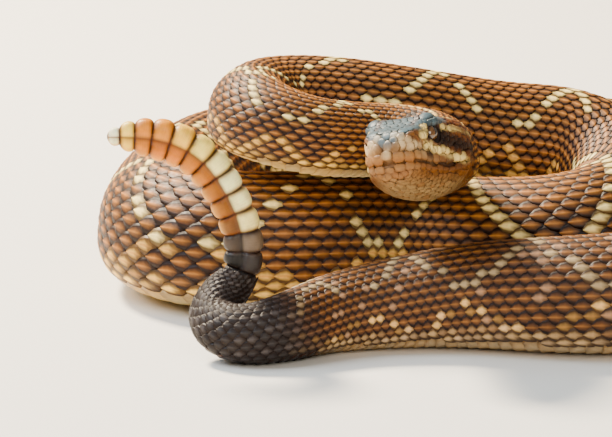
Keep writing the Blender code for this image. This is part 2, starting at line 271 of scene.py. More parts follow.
class Backbone:
    """A cubic spline through the pose's stations, clamped at the nape, read by distance from it."""

    # How many places the spline is worked out at, and how many its paces are counted at.
    FINE = 6000
    SAMPLES = 4000
    # Which way the back faces, by the distance past the root of the rattle. The nape leans with the head.
    BACK_FACES = (
        (-934, (-0.195, 0.071, 0.978)),
        (-896, (0, 0, 1)),
        (-880, (0, 0, 1)),
        (-40, (0, 0, 1)),
        (-34, (0, 0, 1)),
        (-15, (0.55, -0.35, 0.65)),
        (0, (0.95, -0.25, 0.1)),
        (22, (0.78, 0, 0.6)),
        (44, (0, 0, 1)),
    )

    def __init__(self, pose: Pose, girth: Girth, start_way: Array) -> None:
        """Solves the spline's bends and samples it.

        Args:
            pose: the stations.
            girth: the widths, which keep the belly above the floor.
            start_way: the spline's direction at the nape.
        """
        self.girth = girth
        points = pose.stations()
        chord = walk(points)
        steps = np.diff(chord)
        slopes = np.diff(points, axis=0) / steps[:, None]
        bend = self._bends(steps, slopes, start_way)
        twist = np.diff(bend, axis=0) / (3 * steps[:, None])
        run = slopes - steps[:, None] * (2 * bend[:-1] + bend[1:]) / 3
        u = np.linspace(0, chord[-1], self.FINE)
        k = np.clip(np.searchsorted(chord, u, side="right") - 1, 0, len(steps) - 1)
        t = (u - chord[k])[:, None]
        self.points = points[k] + run[k] * t + bend[k] * t**2 + twist[k] * t**3
        self.ways = unit(run[k] + 2 * bend[k] * t + 3 * twist[k] * t**2)
        self.along = walk(self.points)
        self.root = float(np.interp(chord[len(pose.body())], u, self.along))
        self.length = float(self.along[-1])
        on_floor = girth.belly * self.half_width(self.along)
        low = self.along < self.root
        self.points[low, 2] = np.maximum(self.points[low, 2], on_floor[low])

    @staticmethod
    def _bends(steps: Array, slopes: Array, start_way: Array) -> Array:
        """Half the second derivative at each station, from the spline's tridiagonal equations."""
        count = len(steps) + 1
        system = np.eye(count)
        right = np.zeros((count, 3))
        system[0, :2] = 2 * steps[0], steps[0]
        right[0] = 3 * (slopes[0] - start_way)
        inner = np.arange(1, count - 1)
        system[inner, inner - 1] = steps[:-1]
        system[inner, inner] = 2 * (steps[:-1] + steps[1:])
        system[inner, inner + 1] = steps[1:]
        right[inner] = 3 * np.diff(slopes, axis=0)
        return np.linalg.solve(system, right)

    def half_width(self, s: Array) -> Array:
        """Half the body's width at each distance from the nape."""
        return smooth(self.girth.half_widths, self.root - np.asarray(s, float))

    def paces(self, pace: Callable[[Array], Array]) -> tuple[Array, Array]:
        """How many paces lead from the nape to each place: the sum of step / pace over small steps.

        Args:
            pace: the length of a pace for each half-width of the body.

        Returns:
            The paces walked at closely spaced places, and the places.
        """
        fine = np.linspace(0, self.root, self.SAMPLES)
        count = np.cumsum(np.diff(fine) / pace(self.half_width(fine[1:])))
        return np.concatenate([[0], count]), fine

    def frames(self, s: Array) -> tuple[Array, Array, Array, Array]:
        """Place, way along, way to the left (along x back) and way of the back at each distance."""
        along = unit(follow(self.ways, self.along, s))
        back = smooth(self.BACK_FACES, np.asarray(s, float) - self.root)
        back = unit(back - (back * along).sum(-1, keepdims=True) * along)
        return follow(self.points, self.along, s), along, np.cross(along, back), back


@dataclass(frozen=True)
class Fold:
    """A rounded ridge across a line, or a groove where its height is negative."""

    height: float = 0.0
    place: float = 0.0
    width: float = 1.0

    def at(self, x: Array) -> Array:
        """The height times a bell round the place."""
        return self.height * bell(x - self.place, self.width)


@dataclass(frozen=True)
class Spot:
    """A bump or hollow on the head, in its own axes: x ahead of the nape, y out from the middle, z up.

    No small scale's middle lies nearer than the bare reach.
    """

    x: float
    y: float
    z: float
    radius: float
    height: float
    rim: Fold = Fold()
    bare: float = 0.0

    def away(self, q: Array) -> Array:
        """How far each point is from the spot, on either side of the head."""
        return np.linalg.norm(mirrored(q) - [self.x, self.y, self.z], axis=-1)

    def relief(self, q: Array) -> Array:
        """The rim, and the height times a bell of the spot's radius."""
        away = self.away(q)
        return self.rim.at(away) + self.height * bell(away, self.radius)


@dataclass(frozen=True)
class HeadForm:
    """The head in its own axes: x forward from the nape, y to its left, z up."""

    yaw: float = -20.0
    pitch: float = 13.0
    roll: float = 12.0
    length: float = 42.0
    width: Pairs = ((0, 10.7), (4, 12.5), (9, 14.4), (13, 14.7), (20, 12.9), (28, 10.2), (33, 8.8), (38, 7.6))
    crown: Pairs = (
        (0, 11.2), (8, 11.4), (15, 11.4), (22, 11.2), (27, 10.6), (30, 9.4), (33, 8.2), (37, 7.3), (42, 6.7),
    )
    throat: Pairs = ((0, -9.9), (6, -10.9), (13, -11.6), (21, -11.0), (30, -9.4), (37, -7.9), (42, -6.6))
    mouth: Pairs = ((4, 1.4), (8, 0.6), (13, -1.6), (19, -3.2), (27, -3.4), (35, -2.7), (43, -2.3))
    square: Pairs = ((0, 2.0), (8, 2.8), (16, 3.4), (26, 4.2), (36, 4.6), (49, 4.0))
    jaw_round: Pairs = ((0, 1.0), (10, 1.1), (30, 1.0), (49, 0.85))
    station_power: float = 1.15
    widest_up: float = 1.5
    snout_round: float = 4.8
    # Powers of the snout's own outline, and of its share in the crown's and the throat's heights.
    snout_square: float = 2.4
    snout_crown: float = 0.55
    snout_throat: float = 0.8
    nape_reach: float = 13.0
    rings: int = 132
    eye: Spot = Spot(27.6, 8.1, 5.4, 2.5, -1.3, Fold(0.35, 3.3, 0.6), 3.3)
    pit: Spot = Spot(34.4, 8.6, 2.4, 0.9, -2.4, Fold(0.3, 1.7, 0.5), 1.5)
    nostril: Spot = Spot(39.2, 6.3, 4.0, 0.6, -1.5, Fold(0.25, 1.2, 0.4), 1.0)
    brow: Spot = Spot(26.5, 8.3, 10.0, 3.4, 1.6)
    brow_up: Band = (6.5, 8.5)
    gland: Spot = Spot(13.0, 12.8, 0.5, 6.0, 0.5)
    cheek: Spot = Spot(33.0, 9.5, -0.2, 3.0, -0.3)
    # Swollen lips and the groove of the mouth between them, which begin ahead of the jaw's corner.
    lips: Fold = Fold(0.35, 1.5, 1.2)
    mouth_groove: Fold = Fold(-0.8, 0.0, 0.38)
    lips_start: Band = (5.0, 12.0)
    # The sharp edge between the snout's top and its side.
    canthus: Fold = Fold(0.5, 7.1, 1.4)
    canthus_start: Band = (29.0, 32.0)
    canthus_end: Band = (38.0, 41.0)
    canthus_up: Band = (4.2, 6.0)

    def way(self) -> Array:
        """Back along the neck from the head: level, and turned by the head's yaw."""
        yaw = math.radians(self.yaw)
        return np.array([-math.sin(yaw), math.cos(yaw), 0.0])

    def axes(self) -> Array:
        """The head's axes in the world, as columns: yawed, with the snout raised and the left side up."""
        return rotation(2, self.yaw - 90) @ rotation(1, -self.pitch) @ rotation(0, self.roll)

    def lip(self, x: Array) -> Array:
        """The height of the mouth line at each distance ahead of the nape."""
        return smooth(self.mouth, x)

    def stations(self) -> Array:
        """Distances ahead of the nape, closer together at the snout: length * sin(t * pi / 2)^power."""
        t = np.linspace(0, 1, self.rings + 1)[:-1]
        return self.length * np.sin(t * np.pi / 2) ** self.station_power

    def half_rings(self, x: Array, turn: Array) -> Array:
        """The left half of each cross-section: a squared ellipse above the lip and a rounder one below.

        Towards the snout its sizes shrink by powers of sqrt(1 - t^power), where t runs over the snout's end.

        Args:
            x: distances ahead of the nape.
            turn: angles from the crown, 0 to pi.

        Returns:
            Points, one row for each distance.
        """
        beyond = np.clip((x - (self.length - self.snout_round)) / self.snout_round, 0, 1)
        end_on = (1 - beyond**self.snout_square) ** 0.5
        middle = self.lip(x) + self.widest_up
        crown = (smooth(self.crown, x) - middle) * end_on**self.snout_crown
        throat = (smooth(self.throat, x) - middle) * end_on**self.snout_throat
        power = 2 / smooth(self.square, x)[:, None]
        side, up = np.clip(np.sin(turn), 0, 1)[None], np.cos(turn)[None]
        across = np.where(up > 0, side**power, side ** smooth(self.jaw_round, x)[:, None])
        above = np.clip(up, 0, None) ** power * crown[:, None]
        below = np.clip(-up, 0, None) * throat[:, None]
        y = (smooth(self.width, x) * end_on)[:, None] * across
        z = middle[:, None] + np.where(up > 0, above, below)
        return np.stack([np.broadcast_to(x[:, None], y.shape), y, z], -1)

    def upright(self, rings: Array) -> Array:
        """The rings sheared forward near the nape, by true height * tan(pitch), to meet the neck squarely."""
        x, y, z = rings[..., 0], rings[..., 1], rings[..., 2]
        lean = math.radians(self.roll)
        height = z * math.cos(lean) + y * math.sin(lean)
        share = np.clip(1 - x / self.nape_reach, 0, 1)
        return np.stack([x + height * math.tan(math.radians(self.pitch)) * share, y, z], -1)

    def relief(self, q: Array) -> Array:
        """How far the skin stands out from its plain section: folds, brows, lips, pits and sockets.

        Args:
            q: points in the head's axes.

        Returns:
            A height for each point, a sum of bells round the named spots and the mouth line.
        """
        x, y, z = q[..., 0], np.abs(q[..., 1]), q[..., 2]
        off = z - self.lip(x)
        lips = rise(x, *self.lips_start) * (self.lips.at(np.abs(off)) + self.mouth_groove.at(off))
        brow = self.brow.relief(q) * rise(z, *self.brow_up)
        edge = self.canthus.at(y) * rise(x, *self.canthus_start) * (1 - rise(x, *self.canthus_end))
        found = lips + brow + edge * rise(z, *self.canthus_up)
        for spot in (self.eye, self.pit, self.nostril):
            found = found + spot.relief(q)
        return found + (self.gland.relief(q) + self.cheek.relief(q))


def even_round(half: Array, count: int) -> Array:
    """Whole rings of evenly spaced points, from dense left halves that run from the top to the bottom.

    Args:
        half: rings by points by three.
        count: how many points a whole ring has.

    Returns:
        Rings by count by three, the right half the mirror of the left.
    """
    walked = walk(half)
    share = np.linspace(0, 1, count // 2 + 1)
    left = np.stack([follow(ring, far, share * far[-1]) for far, ring in zip(walked, half)])
    right = left[:, -2:0:-1] * [1, -1, 1]
    return np.concatenate([left, right], axis=1)


class Hide:
    """One grid of points and outward ways over the whole animal, from the snout to the rattle."""

    COLUMNS = 160
    RING_STEP = 0.13
    EASE = 5.0
    EASE_REACH = 2.5
    EASE_SHARE = 0.6
    FLOOR_EASE = 2.0
    DENSE = 361
    UV_MARGIN = 0.005

    def __init__(self, head: HeadForm, backbone: Backbone) -> None:
        """Builds the grid.

        Args:
            head: the head's sizes.
            backbone: the spline that the body follows.
        """
        self.head = head
        self.backbone = backbone
        self.nape = backbone.frames(np.zeros(1))[0][0]
        head_axis, head_points = self._head_rings()
        body_axis, body_points = self._body_rings()
        self.axis = np.concatenate([head_axis, body_axis])
        points = self._eased(np.concatenate([head_points, body_points]))
        heads = self.axis < 0
        relief = head.relief(self.to_head(points[heads]))
        points[heads] += self._outward(points)[heads] * relief[..., None]
        self.points = points
        self.normals = self._outward(points)
        around = np.linalg.norm(np.roll(points, -1, 1) - np.roll(points, 1, 1), axis=-1)
        self.wide = around * self.COLUMNS / 2
        self.long = np.linalg.norm(np.gradient(points, self.axis, axis=0), axis=-1)
        self.table = np.concatenate([points, self.normals, self.wide[..., None], self.long[..., None]], -1)

    def _head_rings(self) -> tuple[Array, Array]:
        """The head's rings from the snout back, in the world."""
        x = self.head.stations()[::-1]
        rings = even_round(self.head.half_rings(x, np.linspace(0, np.pi, self.DENSE)), self.COLUMNS)
        return -x, self.to_world(self.head.upright(rings))

    def _body_rings(self) -> tuple[Array, Array]:
        """The body's rings from just behind the nape to the root of the rattle.

        Near the floor a height z becomes z - (ease - z)^2 / (4 * ease), or 0 where that is lower.
        """
        path = self.backbone
        count, fine = path.paces(lambda width: self.RING_STEP * width)
        s = np.interp(np.arange(1, count[-1]), count, fine)
        across, up = path.girth.section(np.linspace(0, np.pi, self.DENSE))
        flat = even_round(np.stack([np.zeros_like(across), across, up], -1)[None], self.COLUMNS)[0]
        place, _, left, back = path.frames(s)
        width = path.half_width(s)[:, None, None]
        rings = place[:, None] + width * (flat[:, 1, None] * left[:, None] + flat[:, 2, None] * back[:, None])
        low = np.clip(self.FLOOR_EASE - rings[..., 2], 0, None)
        rings[..., 2] = np.maximum(rings[..., 2] - low**2 / (4 * self.FLOOR_EASE), 0)
        return s, rings

    def _eased(self, points: Array) -> Array:
        """The points, with the rings near the nape averaged along the body so that no crease shows."""
        near = np.abs(self.axis) < self.EASE_REACH * self.EASE
        a = self.axis[near]
        weight = bell(a[:, None] - a[None], self.EASE_SHARE * self.EASE) * np.gradient(a)[None]
        weight /= weight.sum(1, keepdims=True)
        soft = np.einsum("ij,jkc->ikc", weight, points[near])
        eased = points.copy()
        eased[near] += (soft - points[near]) * bell(a, self.EASE)[:, None, None]
        return eased

    @staticmethod
    def _outward(points: Array) -> Array:
        """Outward unit vectors: the way round crossed with the way along."""
        around = np.roll(points, -1, 1) - np.roll(points, 1, 1)
        return unit(np.cross(around, np.gradient(points, axis=0)))

    def to_head(self, points: Array) -> Array:
        """World points in the head's own axes."""
        return (points - self.nape) @ self.head.axes()

    def to_world(self, q: Array) -> Array:
        """Points in the head's axes, in the world."""
        return q @ self.head.axes().T + self.nape

    def read(self, axis: Array, share: Array) -> tuple[Array, Array, Array, Array]:
        """The grid between its points, by bilinear weights.

        Args:
            axis: places along the animal.
            share: shares of the way round.

        Returns:
            Points, outward ways, the length of a whole turn there, and millimetres for each step of the axis.
        """
        row = np.interp(axis, self.axis, np.arange(len(self.axis)))
        column = np.mod(share, 1.0) * self.COLUMNS
        r, c = np.minimum(row.astype(int), len(self.axis) - 2), column.astype(int) % self.COLUMNS
        down, over = (row - r)[..., None], (column - np.floor(column))[..., None]
        after = (c + 1) % self.COLUMNS
        near = self.table[r, c] * (1 - over) + self.table[r, after] * over
        far = self.table[r + 1, c] * (1 - over) + self.table[r + 1, after] * over
        found = near * (1 - down) + far * down
        return found[..., :3], unit(found[..., 3:6]), found[..., 6], found[..., 7]

    def share(self, column: Array) -> Array:
        """The share of the way round of each of the grid's columns, -0.5 to 0.5."""
        return np.mod(column / self.COLUMNS + 0.5, 1) - 0.5

    def along(self, axis: Array) -> Array:
        """The share of the hide's length ahead of each place."""
        return (np.asarray(axis) - self.axis[0]) / (self.axis[-1] - self.axis[0])

    def inset(self, uv: Array) -> Array:
        """Places on a unit square, drawn in from its edges by the margin."""
        return self.UV_MARGIN + (1 - 2 * self.UV_MARGIN) * uv

    def bake_place(self, axis: Array, share: Array) -> Array:
        """Where a place lies on the hide unrolled to a unit square: along it, and round it from the belly."""
        return self.inset(np.stack([self.along(axis), np.mod(np.asarray(share) + 0.5, 1.0)], -1))


@dataclass
class Part:
    """A mesh in the making: points in millimetres, faces by their number of corners, and what they carry."""

    name: str
    points: Array
    faces: list[Array]
    tint: Array
    grain: Array
    corners_uv: list[Array]

    def build(self, finish: Material, slot: Slot, replaced: tuple[str, ...] = ()) -> None:
        """Puts the part into the scene at the origin, riding on the one body.

        Args:
            finish: its material.
            slot: the record's slot; not used.
            replaced: the solids it stands for.
        """
        mesh = bpy.data.meshes.new(self.name)
        corners = np.concatenate([face.ravel() for face in self.faces])
        sizes = np.concatenate([np.full(len(face), face.shape[1]) for face in self.faces])
        mesh.vertices.add(len(self.points))
        mesh.loops.add(len(corners))
        mesh.polygons.add(len(sizes))
        mesh.vertices.foreach_set("co", (self.points * MM).ravel())
        mesh.loops.foreach_set("vertex_index", corners.astype(np.int32))
        starts = np.concatenate([[0], np.cumsum(sizes)[:-1]])
        mesh.polygons.foreach_set("loop_start", starts.astype(np.int32))
        mesh.update(calc_edges=True)
        layer = mesh.uv_layers.new(name="OFBake")
        layer.data.foreach_set("uv", np.concatenate([uv.reshape(-1, 2) for uv in self.corners_uv]).ravel())
        tint = mesh.attributes.new("tint", "FLOAT_COLOR", "POINT")
        tint.data.foreach_set("color", np.concatenate([self.tint, np.ones((len(self.tint), 1))], 1).ravel())
        grain = mesh.attributes.new("grain", "FLOAT_VECTOR", "POINT")
        grain.data.foreach_set("vector", self.grain.ravel())
        mesh.shade_smooth()
        mesh.materials.append(finish)
        piece = placed(self.name, mesh)
        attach(piece, "root")
        if replaced:
            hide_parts(*replaced)
        LOG.info("%s: %d points, %d triangles", self.name, len(self.points), int((sizes - 2).sum()))


@dataclass(frozen=True)
class ScaleShape:
    """One scale as a closed grid, in shares of its half-width across and of its length from the root."""

    rows: int = 6
    columns: tuple[float, ...] = (-1.0, -0.62, -0.2, 0.0, 0.2, 0.62, 1.0)
    root_width: float = 0.45
    tip_width: float = 0.12
    widest: float = 0.72
    fullness: float = 1.8
    root_depth: float = 0.55
    tip_height: float = 0.12
    slope_power: float = 0.8
    dome: float = 0.2
    dome_inset: float = 0.02
    keel: float = 0.38
    keel_reach: float = 0.17
    keel_up: Band = (0.0, 0.35)
    keel_down: Band = (0.8, 1.0)
    keel_drop: float = 0.35
    # Painted shade: outside a bead of its own colour, each scale darkens to its rim by these shares and part
    # of the way to the gaps' dark colour.
    rim: Point = (0.5, 0.38, 0.28)
    margin: str = "1c0c04"
    margin_share: float = 0.0
    bead: float = 0.4
    bead_end: float = 1.0
    bead_centre: float = 0.66
    bead_long: float = 0.35
    bead_wide: float = 0.8
    # The painted highlight down the middle of each scale: its reach across, and where it comes in along.
    keel_highlight_reach: float = 0.2
    keel_highlight_up: Band = (0.25, 0.55)
    uv_size: float = 0.003

    def grid(self) -> tuple[Array, Array]:
        """Across, -1 to 1, and along, 0 at the root to 1 at the tip, for each point."""
        across, along = np.meshgrid(np.array(self.columns), np.linspace(0, 1, self.rows))
        return across.ravel(), along.ravel()

    def outline(self, along: Array) -> Array:
        """The half-width at each share of the length: a superellipse between the end widths."""
        ends = self.root_width + (self.tip_width - self.root_width) * along
        centred = np.abs(2 * along**self.widest - 1)
        return ends + (1 - ends) * (1 - centred**self.fullness) ** (1 / self.fullness)

    def height(self, across: Array, along: Array, keeled: Array) -> Array:
        """Above the hide, for a thickness of one: a slope from the sunk root to the tip, a dome and a keel.

        Args:
            across: -1 to 1 for each point.
            along: 0 at the root to 1 at the tip.
            keeled: how strong each scale's keel is.

        Returns:
            Scales by points.
        """
        slope = -self.root_depth + (self.tip_height + self.root_depth) * along**self.slope_power
        within = np.clip(along, self.dome_inset, 1 - self.dome_inset)
        dome = self.dome * (1 - across**2) * np.sin(np.pi * within) ** 0.5
        ridge = self.keel * bell(across, self.keel_reach) * rise(along, *self.keel_up)
        ridge = ridge * (1 - self.keel_drop * rise(along, *self.keel_down))
        return (slope + dome)[None] + keeled[:, None] * ridge[None]

    def faces(self) -> list[Array]:
        """Corner numbers, outward: the top's squares, the underside's strips and the two ends."""
        columns = len(self.columns)
        r, c = np.meshgrid(np.arange(self.rows - 1), np.arange(columns - 1), indexing="ij")
        first = (r * columns + c).ravel()
        top = np.stack([first, first + 1, first + columns + 1, first + columns], -1)
        left = np.arange(self.rows - 1) * columns
        under = np.stack([left, left + columns, left + 2 * columns - 1, left + columns - 1], -1)
        root = np.arange(columns)[::-1]
        tip = (self.rows - 1) * columns + np.arange(columns)
        return [np.concatenate([top, under]), np.stack([root, tip])]

    def colours(self, tint: Array, keel_highlight_tint: Array) -> Array:
        """A bead of each scale's colour that darkens to its rim as painted shade, with a painted highlight of
        the keel's colour down the middle.

        The distance from the bead's centre is measured in shares of the bead's half-width and half-length.

        Args:
            tint: each scale's own colour.
            keel_highlight_tint: the colour of the painted highlight on its keel.

        Returns:
            Scales by points by three.
        """
        across, along = self.grid()
        away = np.hypot(across / self.bead_wide, (along - self.bead_centre) / self.bead_long)
        rim = rise(away, self.bead, self.bead_end)[None, :, None]
        keel = bell(across, self.keel_highlight_reach) * rise(along, *self.keel_highlight_up)
        # Painted shade at the rim, towards the gaps' dark colour.
        border = mix(tint * np.array(self.rim), shade(self.margin), self.margin_share)
        plain = tint[:, None] + (border - tint)[:, None] * rim
        return plain + (keel_highlight_tint[:, None] - plain) * keel[None, :, None]

    def part(self, name: str, points: Array, colours: Array, seeds: Array, bake: Array) -> Part:
        """One part from many copies of the scale.

        Args:
            name: the piece's name.
            points: scales by points by three.
            colours: scales by points by three.
            seeds: a random number for each scale.
            bake: each scale's root on the unrolled hide.

        Returns:
            The part.
        """
        across, along = self.grid()
        count, size = points.shape[:2]
        starts = np.arange(count)[:, None, None] * size
        local = np.stack([(across + 1) / 2, along], -1) * self.uv_size
        faces, uvs = [], []
        for face in self.faces():
            faces.append((face[None] + starts).reshape(-1, face.shape[1]))
            uvs.append(bake[:, None, None] + local[face][None])
        grain = np.stack([
            np.broadcast_to(across, (count, size)),
            np.broadcast_to(along, (count, size)),
            np.broadcast_to(seeds[:, None], (count, size)),
        ], -1)
        return Part(name, points.reshape(-1, 3), faces, colours.reshape(-1, 3), grain.reshape(-1, 3), uvs)


@dataclass(frozen=True)
class Palette:
    """The animal's colours, linear, from given screen colours."""

    umber: Point = shade("4e240a")
    dark: Point = shade("260f04")
    tan: Point = shade("70400f")
    # Painted highlight on the keels.
    keel: Point = shade("d88c38")
    cream: Point = shade("ffe28c")
    gold: Point = shade("fcc860")
    mauve: Point = shade("381c12")
    pale: Point = shade("b89a80")
    charcoal: Point = shade("1c1616")
    ash: Point = shade("5c5452")
    belly: Point = shade("d0b880")
    # The throat's buff, darkened as painted shade.
    buff: Point = shade("683c10")
    # Painted reflection of the sky, blue-grey, for the snout's top, the brows and the canthus.
    sky_reflection: Point = shade("4a5e66")
    mask: Point = shade("200f04")
    snout: Point = shade("a07444")
    rosy: Point = shade("dcc090")
    # Painted shade along the mouth line, in a warm brown.
    mouth_line_shade: Point = shade("96560c")


class BodyMarkings:
    """The body's pattern: rhombs down the back with cream edges, a lower festoon and golden flanks."""

    # Where rhombs meet on the spine, by distance from the nape. Further back they follow the girth.
    MEETINGS = (17, 47, 77, 112, 142, 187, 232, 278, 331, 384)
    PERIOD = 2.35
    PLATEAU = 0.13
    # How far round the rhombs reach, in degrees for each half-width of the body.
    REACH = ((12, 52), (15, 58), (20, 77))
    # The edges' unit is a share of a scale's pitch, which grows with the half-width.
    EDGE = 0.26
    PITCH = (0.6, 0.235)
    # In that unit: the cream edge, the dark line in it, the dark band outside and where the tan middle
    # starts.
    CREAM_EDGE = 1.3
    DARK_LINE = 4.2
    OUTER_DARK = -4.0
    MIDDLE = 7.0
    # In degrees from the spine: where the golden flank starts, and the festoon's middle and swing.
    LOW_FLANK = (106.0, 120.0)
    FESTOON_FRONT = (104.0, 14.0)
    FESTOON_REAR = (99.0, 13.0)
    FESTOON_CHANGE = (150.0, 250.0)
    FESTOON_REACH = 5.5
    # The neck's stripes, as middle and reach in degrees. They end over the neck's own distance.
    DARK_STRIPE = (26.0, 13.0)
    CREAM_STRIPE = (46.0, 6.0)
    SPINE_STRIPE = 7.0
    NECK = (20.0, 40.0)
    # Distances from the rattle's root, over which the greyer rear and the plain tail begin.
    REAR = (200.0, 400.0)
    TAIL = (34.0, 52.0)

    def __init__(self, backbone: Backbone, palette: Palette) -> None:
        """Works out where the rhombs meet, to the end of the tail."""
        self.backbone = backbone
        self.palette = palette
        meetings = list(self.MEETINGS)
        while meetings[-1] < backbone.root:
            meetings.append(meetings[-1] + self.PERIOD * float(backbone.half_width(meetings[-1])))
        self.meetings = np.array(meetings)

    def phase(self, axis: Array) -> tuple[Array, Array]:
        """The place within a rhomb, -0.5 to 0.5, and the rhomb's length."""
        step = np.clip(np.searchsorted(self.meetings, axis, side="right") - 1, 0, len(self.meetings) - 2)
        period = self.meetings[step + 1] - self.meetings[step]
        return (axis - self.meetings[step]) / period - 0.5, period

    def inside(self, axis: Array, turn: Array, width: Array) -> Array:
        """How far inside the nearest rhomb's edge, in millimetres: the least of its flat end and its slope.

        Args:
            axis: places along the body.
            turn: degrees from the spine.
            width: half the body's width there.

        Returns:
            Positive inside a rhomb, and negative outside.
        """
        phase, period = self.phase(axis)
        arc = width * np.pi / 180
        reach = np.interp(width, *np.array(self.REACH).T) * arc
        slope = reach / ((0.5 - self.PLATEAU) * period)
        flank = (slope * (0.5 - np.abs(phase)) * period - turn * arc) / np.sqrt(1 + slope**2)
        return np.minimum(reach - turn * arc, flank)

    def festoon(self, axis: Array, turn: Array) -> Array:
        """Degrees from the pale chain: middle - swing * cos, two waves to a rhomb in front and one behind."""
        phase, _ = self.phase(axis)
        back = rise(axis, *self.FESTOON_CHANGE)
        ahead = self.FESTOON_FRONT[0] - self.FESTOON_FRONT[1] * np.cos(4 * np.pi * phase)
        behind = self.FESTOON_REAR[0] - self.FESTOON_REAR[1] * np.cos(2 * np.pi * phase)
        return turn - (ahead * (1 - back) + behind * back)

    def colours(self, axis: Array, share: Array, chance: Array) -> tuple[Array, Array]:
        """The colour of the scale at each place, and of the painted highlight on its keel: washes over umber,
        from rhombs to tail.

        Args:
            axis: places along the body.
            share: shares of the way round, -0.5 to 0.5.
            chance: a random number for each, 0 to 1, by which some miss a wash.

        Returns:
            Colours, and colours of the painted highlights on the keels.
        """
        p = self.palette
        turn = np.abs(share) * FULL_TURN
        width = self.backbone.half_width(np.maximum(axis, 0))
        to_root = self.backbone.root - axis
        size = self.EDGE * (self.PITCH[0] + self.PITCH[1] * width)
        inside = self.inside(axis, turn, width)
        edge = (np.abs(inside) < size * self.CREAM_EDGE) & (chance > 0.22)
        line = (inside > 0) & (inside < self.DARK_LINE * size)
        outer_dark = (inside < 0) & (inside > self.OUTER_DARK * size)
        low = rise(turn + 6 * (chance - 0.5), *self.LOW_FLANK)
        chain = np.abs(self.festoon(axis, turn)) < self.FESTOON_REACH
        pale = edge | (chain & (chance > 0.6))
        dark_stripe = np.abs(turn - self.DARK_STRIPE[0]) < self.DARK_STRIPE[1]
        cream_stripe = np.abs(turn - self.CREAM_STRIPE[0]) < self.CREAM_STRIPE[1]
        cream_stripe |= turn < self.SPINE_STRIPE
        neck = 1 - rise(axis, *self.NECK)
        rear = 1 - rise(to_root, *self.REAR)
        tail = 1 - rise(to_root, *self.TAIL)
        tint = washed(
            spread(p.umber, turn.shape),
            (p.tan, 0.6 * (inside > self.MIDDLE * size)),
            (p.dark, 0.7 * line),
            (p.dark, 0.45 * outer_dark),
            (p.dark, 0.35 * (chance > 0.8)),
            (p.gold, low * (0.6 + 0.4 * (chance > 0.35))),
            (p.gold, 0.9 * chain * (chance > 0.12)),
            (p.cream, (0.93 + 0.07 * chance) * edge * (1 - neck) * (1 - 0.7 * rear)),
            (p.dark, 0.85 * neck * dark_stripe),
            (p.cream, 0.9 * neck * cream_stripe),
            (p.mauve, 0.8 * rear * ~pale * (1 - 0.5 * low)),
            (p.pale, 0.35 * rear * pale),
            (p.pale, 0.5 * rear * low),
            (p.pale, 0.35 * rear * (chance > 0.9)),
            (p.charcoal, tail),
            (p.ash, 0.3 * tail * (chance > 0.8)),
        )
        # Painted highlight down each keel: tan on the body's scales, grey on the tail's, none on the pale
        # edges.
        keel = washed(
            tint,
            (p.keel, 0.7 * (1 - tail) * (1 - low) * (1 - 0.5 * rear)),
            (p.ash, 0.25 * tail),
            (tint, edge & (tail < 0.5)),
        )
        light = 0.8 + 0.36 * chance[..., None]
        return tint * light, keel * light


@dataclass(frozen=True)
class Stroke:
    """A mark on the head, round a line between two places, with a soft edge."""

    start: Point
    end: Point
    reach: float
    colour: str
    strength: float
    soft: float = 0.25

    def share(self, q: Array) -> Array:
        """The mark's strength at each place: a step from 1 to 0 round its reach from the line.

        Args:
            q: points in the head's axes, with y made positive.

        Returns:
            0 to the stroke's strength.
        """
        start, end = np.array(self.start), np.array(self.end)
        run = end - start
        t = np.clip(((q - start) @ run) / max(run @ run, 1e-9), 0, 1)
        away = np.linalg.norm(q - (start + t[..., None] * run), axis=-1)
        return self.strength * (1 - rise(away, (1 - self.soft) * self.reach, (1 + self.soft) * self.reach))


